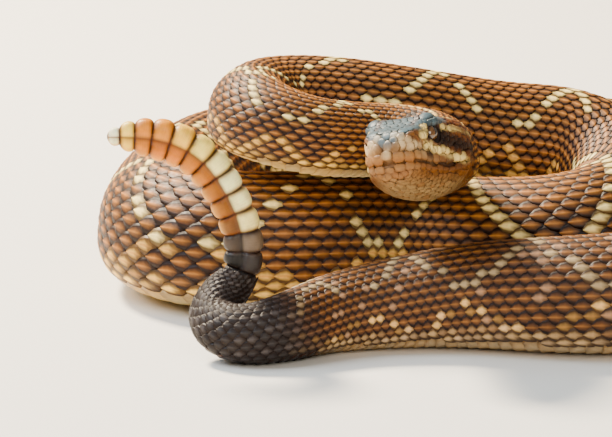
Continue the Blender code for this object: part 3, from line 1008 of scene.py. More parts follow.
class HeadMarkings:
    """The head's pattern, laid down stroke by stroke over a brown crown, tan sides and a buff throat darkened
    as painted shade, with painted reflection and painted shade among the strokes.
    """

    STROKES = tuple(Stroke(*row) for row in (
        ((20, 0, 11.3), (32, 0, 8.6), 3.2, "tan", 0.35),
        ((39.8, 5.4, 5), (34.6, 8.4, 4.6), 2.2, "tan", 0.75),
        ((0, 4.4, 10.6), (17, 4.8, 11.4), 2.5, "dark", 0.9),
        ((-4, 0, 11), (15, 0, 11.6), 1.1, "cream", 0.6),
        ((-4, 8.6, 8.6), (14, 9.4, 10.4), 1.3, "cream", 0.7),
        ((17.5, 7.5, 10.8), (21.5, 8.3, 10.6), 2.2, "dark", 0.9),
        # Painted reflection of the sky in blue-grey over the snout's top, the brows and the canthus.
        ((29, 0, 10), (40, 0, 6.9), 5.2, "sky_reflection", 0.92),
        ((21, 9.2, 10.2), (31.6, 8.2, 9.6), 2.6, "sky_reflection", 0.95),
        ((32, 7.8, 8.2), (40, 5.2, 6.6), 1.6, "sky_reflection", 0.95),
        ((40, 5.2, 6.6), (41.6, 0, 6.2), 1.6, "sky_reflection", 0.9),
        ((31.4, 9, 5.8), (25, 10.2, 4.6), 2.7, "mask", 0.95),
        ((26, 9.9, 4.6), (9, 14.6, -0.2), 2.5, "mask", 0.95),
        ((34, 8.7, 1.6), (31, 9.5, 0.4), 1.3, "mask", 0.7),
        ((24, 11, 7.2), (10, 14.3, 4.8), 0.9, "cream", 0.65),
        ((33.2, 9, 2.3), (28, 10.5, 0.6), 1.1, "cream", 0.85),
        ((28, 10.5, 0.6), (14, 14.6, -2.9), 1.2, "cream", 0.85),
        ((33, 9.5, -0.4), (31.5, 9.9, -1), 1.1, "mask", 0.8),
        ((26, 11, -2.6), (20, 12.4, -2.6), 0.8, "mask", 0.6),
        ((34.6, 8.3, 5), (34, 8.5, 4.8), 1.5, "cream", 0.95),
        ((32.4, 8.3, 7.2), (31.8, 8.5, 7.1), 1.2, "cream", 0.9),
        ((41.2, 2.6, 5.4), (41.2, 4.2, 3), 0.7, "rosy", 0.4),
        ((41.2, 4.4, 3.2), (38.4, 7.4, 1.8), 1.5, "rosy", 0.6),
        ((38.4, 7.4, 1.8), (34.6, 8.8, 0.4), 1.3, "rosy", 0.6),
        ((42, 0, 1.4), (42, 0, -1.6), 0.9, "rosy", 0.5),
        # Painted shade along the mouth line and under the upper lip, in a warm brown.
        ((41.9, 0.6, -2.4), (39.6, 5.8, -2.5), 1.9, "mouth_line_shade", 0.6),
        ((39.6, 5.8, -2.5), (33.5, 9.4, -3.3), 1.3, "mouth_line_shade", 0.45),
        ((41.9, 2.4, 1.6), (42, 2.4, 0.6), 0.7, "mask", 0.4),
        # Painted shade in the nostril's hollow.
        ((39, 6.3, 4), (39, 6.3, 4), 0.8, "mask", 0.8),
    ))
    # Heights, or distances ahead of the nape, over which each wash comes in or goes out.
    SIDE_TOP = (4.5, 8.5)
    SNOUT = (20.0, 33.0)
    CHEEK_TOP = (5.0, 9.0)
    CROWN_START = (5.0, 8.0)
    CHIN = (30.0, 40.0)
    THROAT = (-10.0, -5.0)
    BELOW_LIP = (-1.3, -0.2)
    KEELS_UP = (2.0, 8.0)
    KEELS_END = (20.0, 26.0)

    def __init__(self, palette: Palette, form: HeadForm) -> None:
        """Keeps the palette and the head's form."""
        self.palette = palette
        self.form = form

    def colours(self, q: Array, chance: Array) -> tuple[Array, Array]:
        """The colour of the plate at each place, and of the painted highlight on its keel.

        Args:
            q: points in the head's axes.
            chance: a random number for each, 0 to 1.

        Returns:
            Colours, and colours of the painted highlights on the keels.
        """
        p = self.palette
        q = mirrored(q)
        x, z = q[..., 0], q[..., 2]
        side = 1 - rise(z, *self.SIDE_TOP)
        ahead = rise(x, *self.SNOUT)
        tint = washed(
            spread(p.umber, x.shape),
            (p.snout, side * ahead * 0.9),
            (p.tan, 0.5 * (1 - rise(z, *self.CHEEK_TOP)) * (1 - ahead)),
            (p.dark, 0.5 * (chance > 0.72) * rise(z, *self.CROWN_START)),
            *((getattr(p, stroke.colour), stroke.share(q)) for stroke in self.STROKES),
        )
        # The lower jaw and throat, in buff darkened as painted shade.
        jaw = washed(
            spread(p.buff, x.shape),
            (p.snout, 0.5 * rise(x, *self.CHIN)),
            (p.belly, 0.3 * (1 - rise(z, *self.THROAT))),
            (p.tan, 0.5 * (chance > 0.8)),
        )
        tint = mix(tint, jaw, 1 - rise(z - self.form.lip(x), *self.BELOW_LIP))
        # Painted highlight on the keels of the crown's and the neck's scales.
        keel = mix(tint, p.keel, 0.4 * rise(z, *self.KEELS_UP) * (1 - rise(x, *self.KEELS_END)))
        light = 0.88 + 0.24 * chance[..., None]
        return tint * light, keel * light


class Coat:
    """The markings of the whole animal, so that skin and scales carry the same ones."""

    JOIN = (-5.0, 1.0)

    def __init__(self, hide: Hide, palette: Palette) -> None:
        """Makes the head's and the body's markings."""
        self.hide = hide
        self.head = HeadMarkings(palette, hide.head)
        self.body = BodyMarkings(hide.backbone, palette)

    def colours(self, axis: Array, share: Array, points: Array, chance: Array) -> tuple[Array, Array]:
        """The head's colours ahead of the nape and the body's behind, joined over a few millimetres.

        Args:
            axis: places along the animal.
            share: shares of the way round, -0.5 to 0.5.
            points: the same places in the world.
            chance: a random number for each, 0 to 1.

        Returns:
            Colours, and colours of the painted highlights on the keels.
        """
        on_head = self.head.colours(self.hide.to_head(points), chance)
        on_body = self.body.colours(axis, share, chance)
        behind = rise(axis, *self.JOIN)
        return tuple(mix(first, second, behind) for first, second in zip(on_head, on_body))


@dataclass(frozen=True)
class Skin:
    """The one skin under the scales, from the snout to the rattle, inside the solids by the coat's depth."""

    head_depth: float = 0.35
    body_depth: float = 0.75
    depth_change: Band = (-8.0, 12.0)
    darkness: float = 0.5
    chance: float = 0.5
    nodes: tuple[str, ...] = ("head", "lower_jaw", "neck", *(f"body_{i}" for i in range(1, 10)), "tail")

    def build(self, hide: Hide, coat: Coat, finish: Material) -> None:
        """Lowers the hide's grid by the depth, closes both ends with a point and colours it darkly.

        Args:
            hide: the grid.
            coat: the markings.
            finish: the skin's material.
        """
        depth = self.head_depth + (self.body_depth - self.head_depth) * rise(hide.axis, *self.depth_change)
        grid = hide.points - hide.normals * depth[:, None, None]
        rows, columns = grid.shape[:2]
        points = np.concatenate([grid.reshape(-1, 3), np.stack([grid[0].mean(0), grid[-1].mean(0)])])
        axis, share = np.meshgrid(hide.axis, hide.share(np.arange(columns)), indexing="ij")
        tint, _ = coat.colours(axis, share, hide.points, np.full(axis.shape, self.chance))
        tint = (tint * self.darkness).reshape(-1, 3)
        tint = np.concatenate([tint, tint[:1], tint[-1:]])
        faces = tube_faces(rows, columns)
        part = Part("skin", points, faces, tint, np.zeros_like(points), self._unrolled(hide, faces[0]))
        part.build(finish, Slot.SKIN, self.nodes)

    @staticmethod
    def _unrolled(hide: Hide, squares: Array) -> list[Array]:
        """Where the corners of squares and end triangles lie on the unrolled hide, cut along the belly.

        Args:
            hide: the grid.
            squares: the corner numbers of the squares between rings.

        Returns:
            Places on the unit square for the squares, the first end's triangles and the last end's.
        """
        columns = hide.COLUMNS
        along = hide.along(hide.axis)
        row, column = np.divmod(squares[:, 0], columns)
        low = np.mod(column + columns // 2, columns) / columns
        high = low + 1 / columns
        u = along[np.stack([row, row, row + 1, row + 1], -1)]
        between = np.stack([u, np.stack([low, high, high, low], -1)], -1)
        v = np.stack([low, high, low + 0.5 / columns], -1)[:columns]
        front = np.stack([np.full_like(v, along[0]), v[:, ::-1]], -1)
        back = np.stack([np.full_like(v, along[-1]), v], -1)
        return [hide.inset(uv) for uv in (between, front, back)]


@dataclass(frozen=True)
class DorsalScales:
    """The keeled scales of the back and flanks, in staggered rows that overlap towards the tail."""

    pitch_base: float = 0.6
    pitch_share: float = 0.2
    # Degrees between neighbouring rows, by the distance from the root of the rattle.
    row_steps: Pairs = ((0, 16.0), (60, 11.8), (150, 9.2), (300, 8.6), (600, 8.6), (800, 8.8), (934, 9.2))
    side_rows: int = 17
    lowest: float = 126.0
    # In pitches: the bare end before the rattle, a scale's length, and where the hide's stretch is read.
    bare_end: float = 1.1
    overlap: float = 1.5
    read_at: float = 0.5
    width_share: float = 0.96
    uneven: float = 0.06
    # The least and most that the hide's stretch counts for, in all and in a scale's length.
    stretch: Band = (0.15, 3.0)
    length_stretch: Band = (0.2, 1.2)
    # Thickness is the first of these times (base + share * sqrt(area)), and less where the hide is crowded.
    thickness: float = 0.42
    thick_base: float = 0.5
    thick_share: float = 0.42
    crowded: float = 0.8
    thinnest: float = 0.1
    # The keels are weaker by this share low on the flanks.
    keel_loss: float = 0.75
    keel_fade: Band = (85.0, 120.0)
    floor_gap: float = 0.02
    colour_at: float = 0.6
    pieces: int = 4
    seed: int = 11
    # Painted shade: the scales darken most of the way to the gaps' dark colour at their rims.
    shape: ScaleShape = ScaleShape(margin_share=0.8, bead_end=0.85)

    def pitch(self, width: Array) -> Array:
        """The distance from one scale to the next in its row, for a half-width of the body."""
        return self.pitch_base + self.pitch_share * width

    def places(self, backbone: Backbone) -> tuple[Array, Array, Array, Array]:
        """The roots of all the scales, from the nape back, with every other row half a pitch behind.

        Args:
            backbone: the spline, for its girth.

        Returns:
            Distance behind the nape, share of the way round, pitch, and the step between rows as a share.
        """
        count, fine = backbone.paces(self.pitch)
        half_steps = np.arange(1, int(2 * count[-1]))
        s = np.interp(half_steps / 2, count, fine)
        rows = np.arange(-self.side_rows, self.side_rows + 1)
        s_grid, row = np.meshgrid(s, rows, indexing="ij")
        step = smooth(self.row_steps, backbone.root - s) / FULL_TURN
        step_grid = np.broadcast_to(step[:, None], s_grid.shape)
        share = row * step_grid
        pitch = self.pitch(backbone.half_width(s_grid))
        keep = (half_steps[:, None] + rows[None]) % 2 == 0
        keep &= (np.abs(share) * FULL_TURN < self.lowest) & (s_grid < backbone.root - self.bare_end * pitch)
        return s_grid[keep], share[keep], pitch[keep], step_grid[keep]

    def varied(self, draw: np.random.Generator, count: int) -> Array:
        """Random shares about one, within half of uneven either way."""
        return 1 - self.uneven / 2 + self.uneven * draw.random(count)

    def build(self, hide: Hide, coat: Coat, finish: Material) -> None:
        """Lays the scales on the hide and joins them into a few pieces.

        Args:
            hide: the grid.
            coat: the markings.
            finish: the scales' material.
        """
        draw = np.random.default_rng(self.seed)
        s, share, pitch, step = self.places(hide.backbone)
        chance, seeds = draw.random(len(s)), draw.random(len(s))
        _, _, wide, long = hide.read(s + self.read_at * pitch, share)
        stretch = np.clip(long, *self.stretch)
        length = self.overlap * pitch * np.clip(stretch, *self.length_stretch) * self.varied(draw, len(s))
        reach = np.minimum(length / stretch, hide.backbone.root - s)
        half = self.width_share * step * self.varied(draw, len(s))
        across, along = self.shape.grid()
        axis = s[:, None] + along[None] * reach[:, None]
        round_it = share[:, None] + (across * self.shape.outline(along))[None] * half[:, None]
        points, normals, _, _ = hide.read(axis, round_it)
        thick = self.thickness * (self.thick_base + self.thick_share * np.sqrt(half * wide))
        thick = thick * np.clip(stretch / self.crowded, self.thinnest, 1)
        keeled = 1 - self.keel_loss * rise(np.abs(share) * FULL_TURN, *self.keel_fade)
        up = self.shape.height(across, along, keeled) * thick[:, None]
        points = points + normals * up[..., None]
        points[..., 2] = np.maximum(points[..., 2], self.floor_gap)
        middle = s + self.colour_at * reach
        tint, keel = coat.colours(middle, share, hide.read(middle, share)[0], chance)
        colours = self.shape.colours(tint, keel)
        bake = hide.bake_place(s, share)
        for number, picked in enumerate(np.array_split(np.arange(len(s)), self.pieces), 1):
            carried = (points[picked], colours[picked], seeds[picked], bake[picked])
            self.shape.part(f"scales_{number}", *carried).build(finish, Slot.SKIN)


@dataclass(frozen=True)
class Scutes:
    """The broad plates of the belly and under the tail, each as wide as the belly and one pitch long."""

    half_share: float = 0.166
    overlap: float = 1.22
    thickness: float = 0.6
    bake_share: float = 0.49
    # Distances from the rattle's root, over which the greyer rear and the charcoal tail begin.
    rear: Band = (110.0, 320.0)
    tail: Band = (44.0, 62.0)
    # Across the scute, where the painted shade of its sides comes in.
    edge: Band = (0.7, 1.0)
    seed: int = 23
    # Each scute darkens to its rim as painted shade.
    shape: ScaleShape = ScaleShape(
        rows=4, columns=tuple(np.linspace(-1, 1, 15)), root_width=0.97, tip_width=0.86, widest=1.0,
        fullness=6.0, root_depth=0.9, tip_height=-0.02, dome=0.0, keel=0.0, rim=(0.75, 0.66, 0.55),
        bead=0.8, bead_long=3.0,
    )

    def build(self, hide: Hide, scales: DorsalScales, palette: Palette, finish: Material) -> None:
        """Lays the scutes from the throat to the rattle.

        Args:
            hide: the grid.
            scales: the back's scales, whose pitch the scutes share.
            palette: the colours.
            finish: the scutes' material.
        """
        backbone = hide.backbone
        count, fine = backbone.paces(scales.pitch)
        s = np.interp(np.arange(0, int(count[-1]) - 1), count, fine)
        draw = np.random.default_rng(self.seed)
        chance, seeds = draw.random(len(s)), draw.random(len(s))
        reach = self.overlap * scales.pitch(backbone.half_width(s))
        across, along = self.shape.grid()
        axis = s[:, None] + along[None] * reach[:, None]
        half = self.half_share * self.shape.outline(along) * across
        points, normals, _, _ = hide.read(axis, 0.5 + np.broadcast_to(half, axis.shape))
        up = self.shape.height(across, along, np.zeros(len(s))) * self.thickness
        points = points + normals * up[..., None]
        points[..., 2] = np.maximum(points[..., 2], 0.0)
        to_root = backbone.root - s
        tint = washed(
            spread(palette.belly, s.shape),
            (palette.gold, 0.35 * (chance > 0.6)),
            (palette.pale, 0.5 * (1 - rise(to_root, *self.rear))),
            (palette.charcoal, 1 - rise(to_root, *self.tail)),
        )
        # Painted shade: the scutes darken towards umber at their sides.
        edge = 0.45 * rise(np.abs(across), *self.edge)
        colours = mix(self.shape.colours(tint, tint), palette.umber, edge[None])
        bake = hide.bake_place(s, np.full(len(s), self.bake_share))
        self.shape.part("belly_scutes", points, colours, seeds, bake).build(finish, Slot.THROAT)


class HeadSurface:
    """The head's part of the hide as evenly spread points, on which plates are placed and settled."""

    SPACING = 0.36
    BEHIND = 4.0
    # Lip line: half its band's height, how far it crosses the middle, its start, turn's middle and steps.
    LIP_BAND = 0.45
    LIP_CROSS = 0.4
    LIP_START = 5.0
    LIP_MIDDLE = 24.0
    LIP_STEPS = 60

    def __init__(self, hide: Hide) -> None:
        """Thins the hide's columns where its rings are small, so that the points are evenly spread."""
        rows = np.flatnonzero(hide.axis < self.BEHIND)
        stride = np.ceil(self.SPACING * hide.COLUMNS / hide.wide[rows].mean(1)).astype(int)
        keep = np.arange(hide.COLUMNS)[None] % stride[:, None] == 0
        row, column = np.nonzero(keep)
        self.hide = hide
        self.form = hide.head
        self.points = hide.points[rows][row, column]
        self.normals = hide.normals[rows][row, column]
        self.axis = hide.axis[rows][row]
        self.share = hide.share(column)
        self.q = hide.to_head(self.points)

    def nearest(self, q: Array) -> Array:
        """The number of the surface point nearest to each place in the head's axes."""
        away = ((self.q[None] - q[:, None]) ** 2).sum(-1)
        return away.argmin(1)

    def around(self, picked: Array, count: int) -> Array:
        """The numbers of the nearest points to each picked one."""
        away = ((self.points[None] - self.points[picked][:, None]) ** 2).sum(-1)
        return np.argpartition(away, count, axis=1)[:, :count]

    def settle(self, points: Array, near: Array, soft: float) -> tuple[Array, Array]:
        """Moves points straight to the surface, by the weighted mean plane of the surface points near them.

        Args:
            points: plates by points by three.
            near: for each plate, the numbers of the surface points to use.
            soft: the distance at which a surface point's weight falls to 1/e.

        Returns:
            The settled points and the outward way at each.
        """
        places, ways = self.points[near], self.normals[near]
        away = ((points[:, :, None] - places[:, None]) ** 2).sum(-1)
        weight = np.exp(-(away - away.min(-1, keepdims=True)) / soft**2)
        weight /= weight.sum(-1, keepdims=True)
        way = unit(np.einsum("nmk,nkc->nmc", weight, ways))
        place = np.einsum("nmk,nkc->nmc", weight, places)
        return points - ((points - place) * way).sum(-1, keepdims=True) * way, way

    def lip_line(self, height: float, side: Side) -> tuple[Array, Array]:
        """A line round one side of the head at a height from the mouth, from the snout's middle back.

        Args:
            height: above the mouth line, or below it if negative.
            side: which side of the head.

        Returns:
            Points in the head's axes and their distance from the snout's middle.
        """
        x, y, z = self.q.T
        band = np.abs(z - self.form.lip(x) - height) < self.LIP_BAND
        band &= (y * side.value > -self.LIP_CROSS) & (x > self.LIP_START)
        angle = np.arctan2(np.abs(y[band]), x[band] - self.LIP_MIDDLE)
        number = np.digitize(angle, np.linspace(0, angle.max(), self.LIP_STEPS))
        line = np.stack([self.q[band][number == n].mean(0) for n in np.unique(number)])
        line[0, 1] = 0.0
        return line, walk(line)


@dataclass
class Plates:
    """Where plates lie on the head: centres, ways along and half sizes."""

    centre: Array
    way: Array
    half_long: Array
    half_wide: Array

    @staticmethod
    def joined(groups: list["Plates"]) -> "Plates":
        """All the groups' plates in one."""
        columns = zip(*(vars(group).values() for group in groups))
        return Plates(*(np.concatenate(column) for column in columns))


@dataclass(frozen=True)
class HeadPlates:
    """The head's scales: named plates over brows, lips and snout, and small scales that fill the rest."""

    labials: int = 14
    lower_labials: int = 15
    # Upper and lower lip plates: the row's height from the mouth, and half a plate's height.
    labial_up: Band = (1.55, -1.5)
    labial_tall: Band = (1.6, 1.42)
    labial_long: float = 0.56
    labial_look: float = 0.8
    orbital: int = 13
    orbital_reach: float = 3.15
    orbital_out: float = 1.6
    orbital_top: float = 0.75
    orbital_size: Band = (0.82, 0.62)
    # Small scales: sizes as shares of their spacing, the room that each needs, and the usual gap.
    small_size: Band = (0.84, 0.76)
    small_room: float = 0.86
    small_gap: float = 1.15
    neighbours: int = 5
    # No small scale this near the mouth's line, from its start on, or this far behind the nape.
    bare_mouth: float = 0.7
    mouth_start: float = 7.0
    bare_behind: float = 1.5
    settle_reach: float = 0.5
    thickness: float = 0.25
    seed: int = 5
    # Centre, way of its length, half-length and half-width of each pair of plates, in the head's axes.
    pairs: tuple[tuple[Point, Point, float, float], ...] = (
        ((26.6, 8, 11), (-1, 0.12, 0.05), 4.7, 2.6),
        ((38.3, 1.9, 7.2), (-1, 0.3, 0.3), 1.9, 1.5),
        ((35.2, 5, 7.6), (-1, 0.5, 0.2), 1.9, 1.3),
        ((39.6, 4.5, 6.2), (-0.6, 1, 0), 1.6, 1),
        ((37, 7.1, 5.4), (-1, 0.4, 0), 1.3, 1.1),
        ((31.6, 8.5, 5.8), (-1, 0.1, -0.2), 1.2, 1),
        ((32.2, 8.7, 3.6), (-1, 0.1, 0), 1.2, 0.8),
        ((36.6, 2.2, -8.2), (-1, 0.35, 0), 2.6, 1.5),
        ((31.8, 2.3, -9.4), (-1, 0.1, 0), 2.5, 1.6),
    )
    rostral: tuple[Point, float, float] = ((42.2, 0, -0.2), 1.5, 1.7)
    mental: tuple[Point, float, float] = ((41.6, 0, -4.4), 1.1, 1.5)
    # Painted shade: each plate and scale darkens to its rim, with a painted highlight of the keel's colour
    # down the middle.
    plate_shape: ScaleShape = ScaleShape(
        rows=7, columns=(-1.0, -0.75, -0.4, 0.0, 0.4, 0.75, 1.0), root_width=0.3, tip_width=0.25,
        widest=1.0, fullness=2.6, root_depth=0.5, tip_height=0.1, dome=0.36, keel=0.0,
        rim=(0.72, 0.64, 0.57), bead=0.65, bead_centre=0.5, bead_long=0.5, keel_highlight_reach=0.5,
    )
    lip_shape: ScaleShape = ScaleShape(
        rows=6, columns=(-1.0, -0.72, -0.25, 0.25, 0.72, 1.0), root_width=0.7, tip_width=0.66, widest=1.0,
        fullness=4.0, root_depth=0.5, tip_height=-0.1, dome=0.28, keel=0.0, rim=(0.8, 0.73, 0.66), bead=0.7,
        bead_centre=0.5, bead_long=0.52, keel_highlight_reach=0.5,
    )
    small_shape: ScaleShape = ScaleShape(
        rows=5, columns=(-1.0, -0.55, 0.0, 0.55, 1.0), root_width=0.4, tip_width=0.2, widest=0.9,
        fullness=2.0, root_depth=0.6, tip_height=0.22, dome=0.36, keel=0.35, keel_reach=0.3,
        rim=(0.72, 0.63, 0.55), bead=0.6, bead_centre=0.6, bead_long=0.5, keel_highlight_reach=0.4,
    )

    def spacing(self, surface: HeadSurface) -> Array:
        """How far apart the small scales are: finest round the eye and snout, coarsest at the nape."""
        x, _, z = surface.q.T
        apart = 1.45 + 0.75 * (1 - rise(x, 4, 24)) + 0.35 * (1 - rise(z, -9, -5))
        snout = 0.45 * rise(x, 32, 36) * (1 - rise(z, 5, 8)) * rise(z, -3, 0)
        return apart + snout - 0.25 * bell(surface.form.eye.away(surface.q), 5.0)

    def _paired(self, surface: HeadSurface) -> Plates:
        """The named pairs and the two middle plates."""
        rows = []
        for place, way, long, wide in self.pairs:
            for side in Side:
                mirror = [1, side.value, 1]
                rows.append((np.array(place) * mirror, np.array(way) * mirror, long, wide))
        for place, long, wide in (self.rostral, self.mental):
            rows.append((np.array(place), np.array([-0.2, 0.0, 1.0]), long, wide))
        centre, way, long, wide = (np.array(column) for column in zip(*rows))
        return Plates(surface.q[surface.nearest(centre)], way, long, wide)

    def _lips(self, surface: HeadSurface) -> Plates:
        """Rows of plates along both lips, from beside the middle plates to the mouth's corner."""
        groups = []
        rows = tuple(zip(self.labial_up, (self.labials, self.lower_labials), self.labial_tall))
        for side in Side:
            for height, count, tall in rows:
                line, walked = surface.lip_line(height, side)
                start = self.rostral[2]
                step = (walked[-1] - start) / count
                at = start + (np.arange(count) + 0.5) * step
                ahead, behind = at - self.labial_look, at + self.labial_look
                way = follow(line, walked, behind) - follow(line, walked, ahead)
                half_long, half_tall = np.full(count, self.labial_long * step), np.full(count, tall)
                groups.append(Plates(follow(line, walked, at), way, half_long, half_tall))
        return Plates.joined(groups)

    def _eye_rings(self, surface: HeadSurface) -> Plates:
        """A ring of small plates round each eye, below the brow, each along the ring."""
        turn = np.linspace(0, 2 * np.pi, self.orbital, endpoint=False)
        turn = turn[np.sin(turn) < self.orbital_top]
        eye = surface.form.eye
        x = eye.x + self.orbital_reach * np.cos(turn)
        z = eye.z + self.orbital_reach * np.sin(turn)
        y = np.full_like(x, eye.y + self.orbital_out)
        centre = np.concatenate([np.stack([x, y * side.value, z], -1) for side in Side])
        way = np.tile(np.stack([-np.sin(turn), np.zeros_like(turn), np.cos(turn)], -1), (len(Side), 1))
        long, wide = (np.full(len(centre), size) for size in self.orbital_size)
        return Plates(surface.q[surface.nearest(centre)], way, long, wide)

    def _fill(self, surface: HeadSurface, named: Plates) -> Plates:
        """Small scales between the named plates: the point furthest from all others, again and again.

        Args:
            surface: the head's points.
            named: the plates that are already there.

        Returns:
            The small scales.
        """
        q, form = surface.q, surface.form
        spacing = self.spacing(surface)
        way = unit(named.way)
        offset = q[:, None] - named.centre[None]
        u = np.abs((offset * way[None]).sum(-1))
        v = np.sqrt(np.maximum((offset**2).sum(-1) - u**2, 0))
        edge = np.sqrt((u / named.half_long) ** 2 + (v / named.half_wide) ** 2) - 1
        clear = (edge * np.sqrt(named.half_long * named.half_wide)).min(1)
        room = np.minimum(clear / spacing + 0.5, 9.0)
        blocked = (np.abs(q[:, 2] - form.lip(q[:, 0])) < self.bare_mouth) & (q[:, 0] > self.mouth_start)
        blocked |= surface.axis > self.bare_behind
        for spot in (form.eye, form.pit, form.nostril):
            blocked |= spot.away(q) < spot.bare
        room[blocked] = 0
        chosen = []
        while room.max() > self.small_room:
            best = int(room.argmax())
            chosen.append(best)
            room = np.minimum(room, np.linalg.norm(q - q[best], axis=1) / spacing)
        chosen = np.array(chosen)
        apart = np.linalg.norm(q[chosen][:, None] - q[chosen][None], axis=-1)
        apart = np.sort(apart, axis=1)[:, 1 : self.neighbours + 1].mean(1)
        size = 0.5 * (apart / self.small_gap + spacing[chosen])
        back = np.tile([-1.0, 0.0, 0.25], (len(chosen), 1))
        return Plates(q[chosen], back, self.small_size[0] * size, self.small_size[1] * size)

    def _lay(
        self, name: str, shape: ScaleShape, plates: Plates, surface: HeadSurface, coat: Coat,
        near: int, finish: Material,
    ) -> None:
        """Settles plates on the head and builds them as one piece.

        Args:
            name: the piece's name.
            shape: the plate's grid.
            plates: where they lie.
            surface: the head's points.
            coat: the markings.
            near: how many surface points each plate settles by.
            finish: the material.
        """
        hide = surface.hide
        picked = surface.nearest(plates.centre)
        centre, normal = surface.points[picked], surface.normals[picked]
        way = plates.way @ hide.head.axes().T
        way = unit(way - (way * normal).sum(-1, keepdims=True) * normal)
        side = np.cross(normal, way)
        across, along = shape.grid()
        u = (2 * along - 1)[None] * plates.half_long[:, None]
        v = (across * shape.outline(along))[None] * plates.half_wide[:, None]
        flat = centre[:, None] + u[..., None] * way[:, None] - v[..., None] * side[:, None]
        points, ways = surface.settle(flat, surface.around(picked, near), self.settle_reach)
        draw = np.random.default_rng(self.seed + len(picked))
        chance, seeds = draw.random(len(picked)), draw.random(len(picked))
        q = surface.q[picked]
        keeled = rise(q[:, 2], 0, 5) * (1 - rise(q[:, 0], 20, 27))
        snout = rise(q[:, 0], 30, 36) * (1 - rise(q[:, 2], 5, 8))
        thick = self.thickness * (0.4 + 0.6 * np.sqrt(plates.half_wide * plates.half_long))
        up = shape.height(across, along, keeled) * (thick * (1 - 0.5 * snout))[:, None]
        points = points + ways * up[..., None]
        where = hide.to_head(points)
        fine, _ = coat.head.colours(where, np.broadcast_to(chance[:, None], where.shape[:2]))
        tint, keel = coat.head.colours(q, chance)
        plain = np.ones_like(tint)
        colours = 0.5 * (shape.colours(tint, keel) + fine * shape.colours(plain, plain))
        bake = hide.bake_place(surface.axis[picked], surface.share[picked])
        shape.part(name, points, colours, seeds, bake).build(finish, Slot.SKIN)

    def build(self, hide: Hide, coat: Coat, finish: Material) -> None:
        """Places, settles and builds all the head's plates and scales.

        Args:
            hide: the grid.
            coat: the markings.
            finish: the plates' material.
        """
        surface = HeadSurface(hide)
        large, lips, rings = self._paired(surface), self._lips(surface), self._eye_rings(surface)
        small = self._fill(surface, Plates.joined([large, lips, rings]))
        self._lay("head_plates", self.plate_shape, large, surface, coat, 900, finish)
        self._lay("lip_plates", self.lip_shape, Plates.joined([lips, rings]), surface, coat, 260, finish)
        self._lay("head_scales", self.small_shape, small, surface, coat, 200, finish)


@dataclass(frozen=True)
class Eyes:
    """The eyes: balls with a gold iris, an upright slit and a dark rim."""

    radius: float = 2.45
    columns: int = 96
    rows: int = 64
    # Which way they look, in the head's axes, forward, out and up.
    look: Point = (0.25, 1.0, 0.12)
    slit: float = 0.16
    slit_tall: float = 0.78
    slit_edge: Band = (-0.02, 0.04)
    iris: float = 1.08
    iris_shade: float = 0.75
    rim: Band = (-0.05, 0.15)
    uv_centre: float = 0.5
    uv_radius: float = 0.2
    gold: str = "6e4a20"
    brown: str = "3a220e"
    black: str = "060403"
    seed: int = 3

    def build(self, hide: Hide, finish: Material) -> None:
        """Builds both eyes in their sockets.

        Args:
            hide: the grid, for the head's place.
            finish: the eyes' material.
        """
        for side in Side:
            self._ball(hide, side).build(finish, Slot.EYE, (f"eye_{side.name.lower()}",))

    def _ball(self, hide: Hide, side: Side) -> Part:
        """A sphere of rings from its outer pole inwards: radius * (sin, cos) of the angle from the pole."""
        eye = hide.head.eye
        away = np.linspace(0, np.pi, self.rows + 2)[1:-1]
        turn = np.linspace(0, 2 * np.pi, self.columns, endpoint=False)
        away, turn = np.meshgrid(away, turn, indexing="ij")
        mirror = np.array([1, side.value, 1])
        out = unit(np.array(self.look) * mirror)
        up = unit(np.array([0.0, 0.0, 1.0]) - out[2] * out)
        ahead = np.cross(up, out)
        ball = np.sin(away)[..., None] * (np.cos(turn)[..., None] * ahead + np.sin(turn)[..., None] * up)
        ball = (ball + np.cos(away)[..., None] * out).reshape(-1, 3)
        ball = np.concatenate([ball, [out, -out]])
        points = hide.to_world(np.array([eye.x, eye.y, eye.z]) * mirror + ball * self.radius)
        seen = np.stack([ball @ ahead, ball @ up, ball @ out], -1)
        # The rings run the other way round than tube_faces takes them.
        faces = [np.roll(face[:, ::-1], 1, axis=1) for face in tube_faces(self.rows, self.columns)]
        uvs = [self.uv_centre + self.uv_radius * seen[face][..., :2] for face in faces]
        return Part(f"eye_{side.name.lower()}_ball", points, faces, self._colours(seen), seen, uvs)

    def _colours(self, seen: Array) -> Array:
        """A slit that narrows to its ends as an ellipse does, a gold iris with brown speckles and a dark rim.

        Args:
            seen: each point of a ball of radius one, as forward, up and outward.

        Returns:
            Colours.
        """
        x, y, z = seen.T
        draw = np.random.default_rng(self.seed)
        angle = np.arccos(np.clip(z, -1, 1))
        width = self.slit * np.sqrt(np.clip(1 - (y / self.slit_tall) ** 2, 0, 1))
        speckle = 0.5 + 0.5 * np.sin(9 * x + 23 * y + 3 * np.sin(17 * y)) * draw.uniform(0.6, 1.0, len(x))
        brown, black = shade(self.brown), shade(self.black)
        return washed(
            spread(shade(self.gold), x.shape),
            (brown, 0.7 * speckle),
            (brown, rise(angle, self.iris_shade, self.iris)),
            (black, rise(angle, self.iris + self.rim[0], self.iris + self.rim[1])),
            (black, 1 - rise(np.abs(x) - width, *self.slit_edge)),
        )


